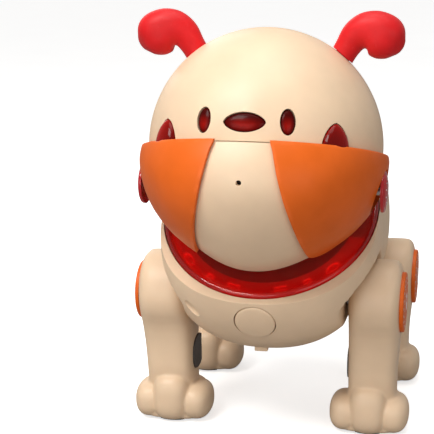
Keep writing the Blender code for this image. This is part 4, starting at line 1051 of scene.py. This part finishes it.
def torso():
    outer = torso_solid("outer")
    for hip in (HIP_F, HIP_R):
        for side in (1, -1):
            r = hip_recess(hip)
            if side < 0:
                move(r, MIRROR)
            boolean(outer, r)
    remesh(outer, 0.95, 4)
    inner = torso_solid("inner", BODY_WALL, 40, (10, 14))
    for hip in (HIP_F, HIP_R):
        for side in (1, -1):
            r = hip_recess(hip, BODY_WALL, fine=14)
            if side < 0:
                move(r, MIRROR)
            boolean(inner, r)
    boolean(inner, move(box("a", (-90, -90, -9), (90, 90, 120)), neck_at(CC)))
    boolean(outer, move(box("a", (-90, -90, 0), (90, 90, 120)), neck_at(CC)))
    # a shallow scoop low on the chest, beside the right front leg
    bm = bmesh.new()
    bm.from_mesh(outer.data)
    tree = BVHTree.FromBMesh(bm)
    bm.free()
    hit, nrm, _, _ = tree.ray_cast(Vector((-32.0, -200, 70.0)), Vector((0, 1, 0)))
    along = Vector((0.77, 0.0, -0.64))
    along = (along - nrm * along.dot(nrm)).normalized()
    across = nrm.cross(along)
    lean = Matrix((along, (across + nrm * 0.45).normalized(), (nrm - across * 0.45).normalized())).transposed().to_4x4()
    boolean(outer, move(ellipsoid("scoop", (0, 0, 0), (5.6, 3.4, 2.3), 44, 30), Matrix.Translation(hit + nrm * 0.7) @ lean))
    boolean(outer, inner)
    boolean(outer, move(cyl("seat", COLLAR_R + 0.5, -COLLAR_T - 0.35, 20, 160), ring_at(CC)))
    boolean(outer, move(cyl("throat", 37.0, -30, 5, 48), neck_at(AX)))
    boolean(outer, ellipsoid("head", HC, (HEAD_CLEAR,) * 3, 72, 48))
    for y, z in (HIP_F, HIP_R):
        boolean(outer, move(cyl("h", SHAFT_R + 1.0, -80, 80, 24), Matrix.Translation((0, y, z)) @ XROT))
    boolean(outer, box("bay", (BAY[0], BAY[1], 20), (BAY[2], BAY[3], 60)))
    front = copy(outer, "front")
    boolean(front, box("cut", (-100, SPLIT_Y - 0.15, -50), (100, 200, 300)))
    rear = outer
    boolean(rear, box("cut", (-100, -200, -50), (100, SPLIT_Y + 0.2, 300)))
    tube = move(cyl("tube", BUTTON_R + 2.3, -7.5, -2.8, 64), BUT_M)
    boolean(tube, move(cyl("seat", COLLAR_R + 2.2, -COLLAR_T - 1.0, 30, 128), ring_at(CC)))
    boolean(front, tube, "UNION")
    boolean(front, move(cyl("bh", BUTTON_R + 0.4, -10.2, 6, 96), BUT_M))
    boolean(front, box("slot", (SW[0] - 2.4, SW[1] - 2.4, 30), (SW[0] + 2.4, SW[1] + 5.4, 49.6)))
    return front, rear


front, rear = torso()
place(front, "torso_front_skin", "torso", CREAM, ["torso_front_shell"], angle=40)
place(rear, "torso_rear_skin", "torso", CREAM, ["torso_rear_shell"], angle=40)

tab = box("tab", (-6.3, -54.6, 41.6), (0.3, -51.0, 47.5))
bevel(tab, 0.5, 3, 50)
place(tab, "belly_tab", "torso", CREAM, [])

button = solid_rev("b", [(0, -6.2), (5.0, -6.2), (5.0, -5.0), (BUTTON_R, -5.0), (BUTTON_R, -0.55), (BUTTON_R - 0.12, -0.15), (BUTTON_R - 0.45, 0.2), (BUTTON_R - 0.9, 0.42),
                         (BUTTON_R - 2.2, 0.72), (BUTTON_R * 0.5, 1.08), (BUTTON_R * 0.25, 1.22), (0, 1.27)], 96)
place(move(button, BUT_M), "chest_button_skin", "chest_button", CREAM, ["chest_button"])

# ------------------------------------------------------------------ collar, with its posts and strip; the posts and strip have a painted glow
def collar():
    R = COLLAR_R
    prof = [(R, -5.9), (R, -0.2), (R - 0.12, 0.35), (R - 0.45, 0.85), (R - 1.0, 1.2), (R - 1.8, 1.36), (48, 1.45), (45, 1.3), (41, 0.8), (37, -0.1), (34, -1.0),
            (34, -2.6), (37, -1.9), (41, -1.2), (45, -0.6), (R - 3.2, -0.4), (R - 2.0, -1.0), (R - 1.7, -1.8), (R - 1.7, -5.9)]
    ob = move(revolve("c", prof, 200), ring_at(CC))
    boolean(ob, move(cyl("eye", 42.2, -20, 20, 96), neck_at(AX)))
    boolean(ob, ellipsoid("head", HC, (HEAD_CLEAR,) * 3, 96, 64))
    return ob


place(collar(), "collar_lens", "torso", COLLAR, ["collar_ring"], angle=45)
def collar_inside():
    """Reflector strip, screw posts and lamp windows, all seen through the clear ring, all given a painted glow though
    none is a lamp.
    """
    strip = move(revolve("s", [(50.6, -4.0), (50.6, -3.4), (42.8, -3.1), (42.8, -3.7)], 128), ring_at(CC))
    boolean(strip, move(box("backcut", (-80, -14, -20), (80, 80, 20)), neck_at(CC)))
    boolean(strip, move(cyl("eye", 44.0, -20, 20, 96), neck_at(AX)))
    place(strip, "collar_strip_painted_glow", "torso", REFLECTOR_PAINTED_LIGHT, [])
    at = lambda deg, r: ring_at(CC) @ Matrix.Translation((math.sin(math.radians(deg)) * r, -math.cos(math.radians(deg)) * r, 0)) @ Matrix.Rotation(math.radians(deg), 4, "Z")
    for i, deg in enumerate((-49, 47)):
        # an open oval rib round each screw post
        ring = revolve("r", [(2.5, -3.3), (2.5, -1.9), (1.9, -1.9), (1.9, -3.3)], 40)
        ring.data.transform(Matrix.Diagonal((1.7, 0.8, 1, 1)))
        place(move(ring, at(deg, COLLAR_R - 5.6)), "collar_post_%d" % (i + 1), "torso", MOULDING_PAINTED_LIGHT, [])
    for i, (deg, w) in enumerate(((-14, 3.2), (14, 3.2), (-30, 2.0), (30, 2.0))):
        fr_ = box("w", (-w, -1.3, -3.3), (w, 1.3, -2.3))
        boolean(fr_, box("h", (-w + 0.6, -0.8, -4), (w - 0.6, 0.8, -1)))
        place(move(fr_, at(deg, COLLAR_R - 6.2)), "collar_window_%d" % (i + 1), "torso", MOULDING_PAINTED_LIGHT, [])


collar_inside()


# ------------------------------------------------------------------ legs
FLARE = 2.2


def flare(z, hz):
    k = min(1, max(0, (z - 24) / (hz - 24)))
    return FLARE * k * k * (3 - 2 * k)


def leg_profile(zh):
    r = HIP_RAD
    st = [(9.0, 11.4, 0.5), (18.0, 11.8, 0.5), (26.0, 13.5, 0.5)]
    zm = zh - r * 0.5
    for k in range(1, 8):
        st.append((26.0 + (zm - 26.0) * k / 8, 13.9 + (r * math.cos(math.radians(30)) - 13.9) * (k / 8) ** 4, 0.5))
    for a in range(-30, 89, 6):
        z = zh + r * math.sin(math.radians(a))
        hw = 0.5 * (1 - math.sin(math.radians(max(a, 0))) ** 3.2) ** (1 / 3.2)
        d = r * math.cos(math.radians(a))
        st.append((z, max(d, 16.2 if a < -30 else 0), hw))
    return st


def leg_solid(hip, fy, inset=0.0, x_lo=LEG_IN, x_hi=LEG_OUT, z_lo=None, n=48):
    hy, hz = hip
    wid, mid = x_hi - x_lo, (x_hi + x_lo) / 2
    verts, rings = [], []
    for z, hd, hw in leg_profile(hz):
        if z_lo is not None and z < z_lo:
            z = z_lo
        k = min(1, max(0, (hz - z) / (hz - 12)))
        yc = hy + (fy - hy) * k
        hd = max(hd - inset, 1.0)
        zz = z if z <= hz else hz + (z - hz) * (1 - inset / HIP_RAD)
        if rings and abs(zz - verts[rings[-1][0]][2]) < 0.3:
            continue
        ring = []
        for i in range(n):
            a = 2 * math.pi * i / n
            c, s = math.cos(a), math.sin(a)
            e = 2 / (3.9 if inset == 0 else 4.2)
            ring.append(len(verts))
            x = mid + wid * (0.5 - hw) * 0.5 + wid * hw * math.copysign(abs(c) ** e, c)
            x += flare(zz, hz) * max(0, (x - x_lo) / wid) if inset == 0 else 0
            verts.append((x, yc + hd * math.copysign(abs(s) ** e, s), zz))
        rings.append(ring)
    faces = [tuple(rings[0][::-1])]
    for a, b in zip(rings, rings[1:]):
        faces += [(a[i], a[(i + 1) % n], b[(i + 1) % n], b[i]) for i in range(n)]
    faces.append(tuple(rings[-1]))
    return make("leg", verts, faces)


FOOT = {"front": -38.9, "rear": 38.9}


def leg(end, hip):
    hy, hz = hip
    fy = FOOT[end]
    cx = LEG_X
    parts = [leg_solid(hip, fy)]
    for c, r, e in (((cx + 0.1, fy - 6.0, 12.8), (9.7, 13.4, 13.2), 2.9), ((cx - 11.9, fy - 3.6, 9.5), (8.2, 13.0, 9.7), 2.45),
                    ((cx + 12.1, fy - 3.6, 9.5), (8.2, 13.0, 9.7), 2.45), ((cx, fy + 3.2, 9.6), (16.2, 14.4, 9.6), 2.6)):
        parts.append(pillow("t", c, r, e))
    # the knuckle on the inner side above the paw
    parts.append(ellipsoid("k", (LEG_IN + 3.5, fy + 1.0, 30.0), (4.6, 8.5, 7.0), 40, 28))
    parts.append(pillow("pad", (cx, fy - 0.2, 3.95), (16.2, 14.6, 3.85), 3.6))
    ob = remesh(join(parts), 0.66, 3)
    boolean(ob, box("floor", (0, -200, -50), (100, 200, 0.45)))
    pocket = leg_solid(hip, fy, 2.6, LEG_IN - 9, LEG_OUT - 3.4, z_lo=24.0, n=40)
    boolean(pocket, pillow("oval", (LEG_IN, fy + 2.5, 34.0), (40, 9.9, 9.0), 2.6), "INTERSECT")
    boolean(ob, pocket)
    boolean(ob, move(cyl("bore", SHAFT_R + 0.35, LEG_IN - 1, 60.4, 24), Matrix.Translation((0, hy, hz)) @ YZX))
    boolean(ob, move(cyl("seat", DISC_R + 0.4, LEG_OUT + FLARE - 0.9, LEG_OUT + FLARE + 5, 96), Matrix.Translation((0, hy, hz)) @ YZX))
    ov = lambda gr: [(cx + (11.5 + gr) * math.cos(2 * math.pi * i / 48), fy - 1.5 + (11.5 + gr) * math.sin(2 * math.pi * i / 48)) for i in range(48)]
    boolean(ob, prism("sr", ov(0.35), -2, SOLE_T + 0.35))
    cover = leg_solid(hip, fy, 3.0, LEG_IN - 4, LEG_OUT, z_lo=24.5, n=40)
    boolean(cover, box("a", (LEG_IN + 1.8, -200, 0), (100, 200, 200)))
    boolean(cover, box("b", (0, -200, 0), (LEG_IN - 0.6, 200, 200)))
    boolean(cover, pillow("oval", (LEG_IN, fy + 2.5, 34.0), (20, 9.5, 8.6), 2.6), "INTERSECT")
    bevel(cover, 0.35, 2, 50)
    x = LEG_OUT + FLARE - 0.3
    disc = solid_rev("disc", [(0, x - 0.55), (DISC_R, x - 0.55), (DISC_R, x + 0.75), (DISC_R - 0.12, x + 1.1), (DISC_R - 0.4, x + 1.35), (DISC_R - 0.9, x + 1.5),
                              (DISC_R * 0.75, x + 1.66), (DISC_R * 0.5, x + 1.78), (DISC_R * 0.25, x + 1.86), (0, x + 1.9)], 96)
    move(disc, Matrix.Translation((0, hy, hz)) @ YZX)
    spots = []
    for rr, num, size in ((12.4, 20, 0.62), (9.8, 16, 0.42)):
        for i in range(num):
            a = 2 * math.pi * (i + (0.5 if rr < 11 else 0)) / num
            spots.append((rr * math.cos(a), rr * math.sin(a), size, size, 0))
    # a plain paw mark in the middle, its toes towards the top
    spots += [(0, -1.9, 2.7, 2.1, 0), (-3.4, 1.5, 0.95, 1.35, 0.45), (-1.25, 3.4, 1.0, 1.5, 0.12), (1.25, 3.4, 1.0, 1.5, -0.12), (3.4, 1.5, 0.95, 1.35, -0.45)]
    mark = dots("mark", spots, lambda u, v: x + 1.9 - (u * u + v * v) * 0.00205)
    move(mark, Matrix.Translation((0, hy, hz)) @ YZX)
    sole = prism("sole", ov(0), 0.0, SOLE_T)
    for i in range(5):
        yy = fy - 10.5 + i * 4.5
        boolean(sole, box("tread", (cx - 20, yy - 0.45, -1), (cx + 20, yy + 0.45, 0.55)))
    bevel(sole, 0.2, 2, 50)
    return ob, cover, disc, sole, mark


for end, hip in (("front", HIP_F), ("rear", HIP_R)):
    body = end + "_legs"
    for ob, kind, mat, slot in zip(leg(end, hip), ("leg", "leg_cover", "hip_disc", "sole", "paw_mark"), (CREAM, DARK, ORANGE, SOLE, PRINT), ("cream", "dark", "orange", "rubber", "cream")):
        for sd in ("right", "left"):
            o = move(copy(ob, "r"), MIRROR) if sd == "right" else ob
            node = [] if kind == "paw_mark" else ["%s_%s_%s" % (end, kind, sd)]
            place(o, "%s_%s_skin_%s" % (end, kind, sd), body, mat, node, angle=50 if kind == "leg" else 38)

# ------------------------------------------------------------------ belly: door, latch, screw
door = torso_solid("door", 0.0, 80, (20, 30))
boolean(door, torso_solid("inner", BODY_WALL, 40, (10, 14)))
boolean(door, box("k", (BAY[0] + 0.4, BAY[1] + 0.4, 20), (BAY[2] - 0.4, BAY[3] - 0.4, 60)), "INTERSECT")
boolean(door, box("tab", (-3.0, BAY[1] + 0.4, 39.0), (3.0, BAY[1] + 4.4, 44.6)), "UNION")
for i in range(4):
    yy = BAY[1] + 7 + i * 1.8
    boolean(door, box("rib", (-6, yy, 30), (6, yy + 0.7, 42.3)))
boolean(door, move(cyl("scr", 1.6, 20, 60, 32), Matrix.Translation((0, BAY[3] - 5.5, 0))))
boolean(door, move(cyl("scr", 3.2, 20, 41.6, 32), Matrix.Translation((0, BAY[3] - 5.5, 0))))
bevel(door, 0.3, 2, 50)
place(door, "battery_door_skin", "battery_door", CREAM, ["battery_door"])

# ------------------------------------------------------------------ carried-over parts of the drive and electrics
KEEP = {"dark": DARK, "black": BLACK, "steel": STEEL, "white_nylon": NYLON, "pcb": BOARD, "battery": CELL, "red_clear": COLLAR, "cream": CREAM, "rubber": SOLE, "orange": ORANGE}
slots = {s["node"]: s["material_slot"] for s in frame["record"]["subparts"]}
for n, ob in frame["nodes"].items():
    if ob.hide_render:
        continue
    mat = TIN if n.endswith("_motor") else KEEP.get(slots.get(n), DARK)
    ob.data.materials.clear()
    ob.data.materials.append(mat)
    ob.data.shade_smooth()
    ob.data.set_sharp_from_angle(angle=math.radians(32))

# ------------------------------------------------------------------ floor, light, camera
def floor():
    ob = make("floor", [(-9, -9, -0.0002), (9, -9, -0.0002), (9, 9, -0.0002), (-9, 9, -0.0002)], [(0, 1, 2, 3)])
    k = Nodes("studio_paper")
    path = k.t.nodes.new("ShaderNodeLightPath")
    pale = k.mix(k.remap(k.noise(9, 3), 0.3, 0.7, 0, 1), (0.86, 0.86, 0.86), (0.90, 0.90, 0.895))
    k.set(Base_Color=k.mix(path.outputs["Is Camera Ray"], (0.30, 0.285, 0.275), pale), Roughness=0.9)
    k.p.inputs["Specular IOR Level"].default_value = 0.2
    # the paper reads near white to the eye, without lighting the toy from below
    k.p.inputs["Emission Color"].default_value = (1, 1, 1, 1)
    k.link(k.math("MULTIPLY", path.outputs["Is Camera Ray"], 0.62), k.p.inputs["Emission Strength"])
    k.set(Normal=k.bump(k.noise(700, 3), 0.0001, 0.2))
    ob.data.materials.append(k.m)


floor()
world = bpy.data.worlds.new("studio")
bpy.context.scene.world = world
world.use_nodes = True
bg = world.node_tree.nodes["Background"]
bg.inputs[0].default_value = (1.0, 0.985, 0.97, 1)
wp = world.node_tree.nodes.new("ShaderNodeLightPath")
wm = world.node_tree.nodes.new("ShaderNodeMapRange")
wm.inputs[3].default_value, wm.inputs[4].default_value = 0.38, 1.0
world.node_tree.links.new(wp.outputs["Is Camera Ray"], wm.inputs[0])
world.node_tree.links.new(wm.outputs[0], bg.inputs[1])


def area(name, loc, target, size, power, colour=(1, 1, 1)):
    l = bpy.data.lights.new(name, "AREA")
    l.shape = "RECTANGLE"
    l.size, l.size_y = size
    l.energy = power
    l.color = colour
    o = bpy.data.objects.new(name, l)
    bpy.context.scene.collection.objects.link(o)
    o.location = loc
    o.rotation_euler = (Vector(target) - Vector(loc)).to_track_quat("-Z", "Y").to_euler()
    return o


area("key", (-0.36, -0.58, 0.95), (0, -0.02, 0.15), (0.45, 0.4), 6.9, (1, 0.988, 0.965))
area("fill", (0.75, -0.95, 0.30), (0, 0, 0.08), (0.7, 0.6), 2.0, (1, 0.98, 0.96))
area("front", (-0.30, -1.05, 0.32), (0, 0, 0.07), (0.8, 0.5), 2.7, (1, 0.985, 0.965))
area("top", (0.0, -0.05, 1.0), (0, -0.02, 0.15), (0.6, 0.6), 3.4, (1, 0.99, 0.97))
area("rim", (-0.5, 0.75, 0.55), (0, 0, 0.12), (0.5, 0.5), 1.2)

A, E = math.radians(10.9), math.radians(15.0)
back = Vector((math.sin(A) * math.cos(E), -math.cos(A) * math.cos(E), math.sin(E)))
target = Vector((0.0, (-72.1 + SHIFT_Y) * 0.001, 0.090))
cam = bpy.data.cameras.new("camera")
cam.sensor_width = 36
cam.lens = 36.0 * 1252 / 434
cam.shift_x = -(260.2 - 217) / 434
cam.shift_y = (267.6 - 217) / 434
cam.clip_start = 0.02
co = bpy.data.objects.new("camera", cam)
bpy.context.scene.collection.objects.link(co)
co.location = target + back * 0.6
co.rotation_euler = back.to_track_quat("Z", "Y").to_euler()
bpy.context.scene.camera = co
bpy.context.scene.view_settings.view_transform = "Standard"
bpy.context.scene.view_settings.look = "None"
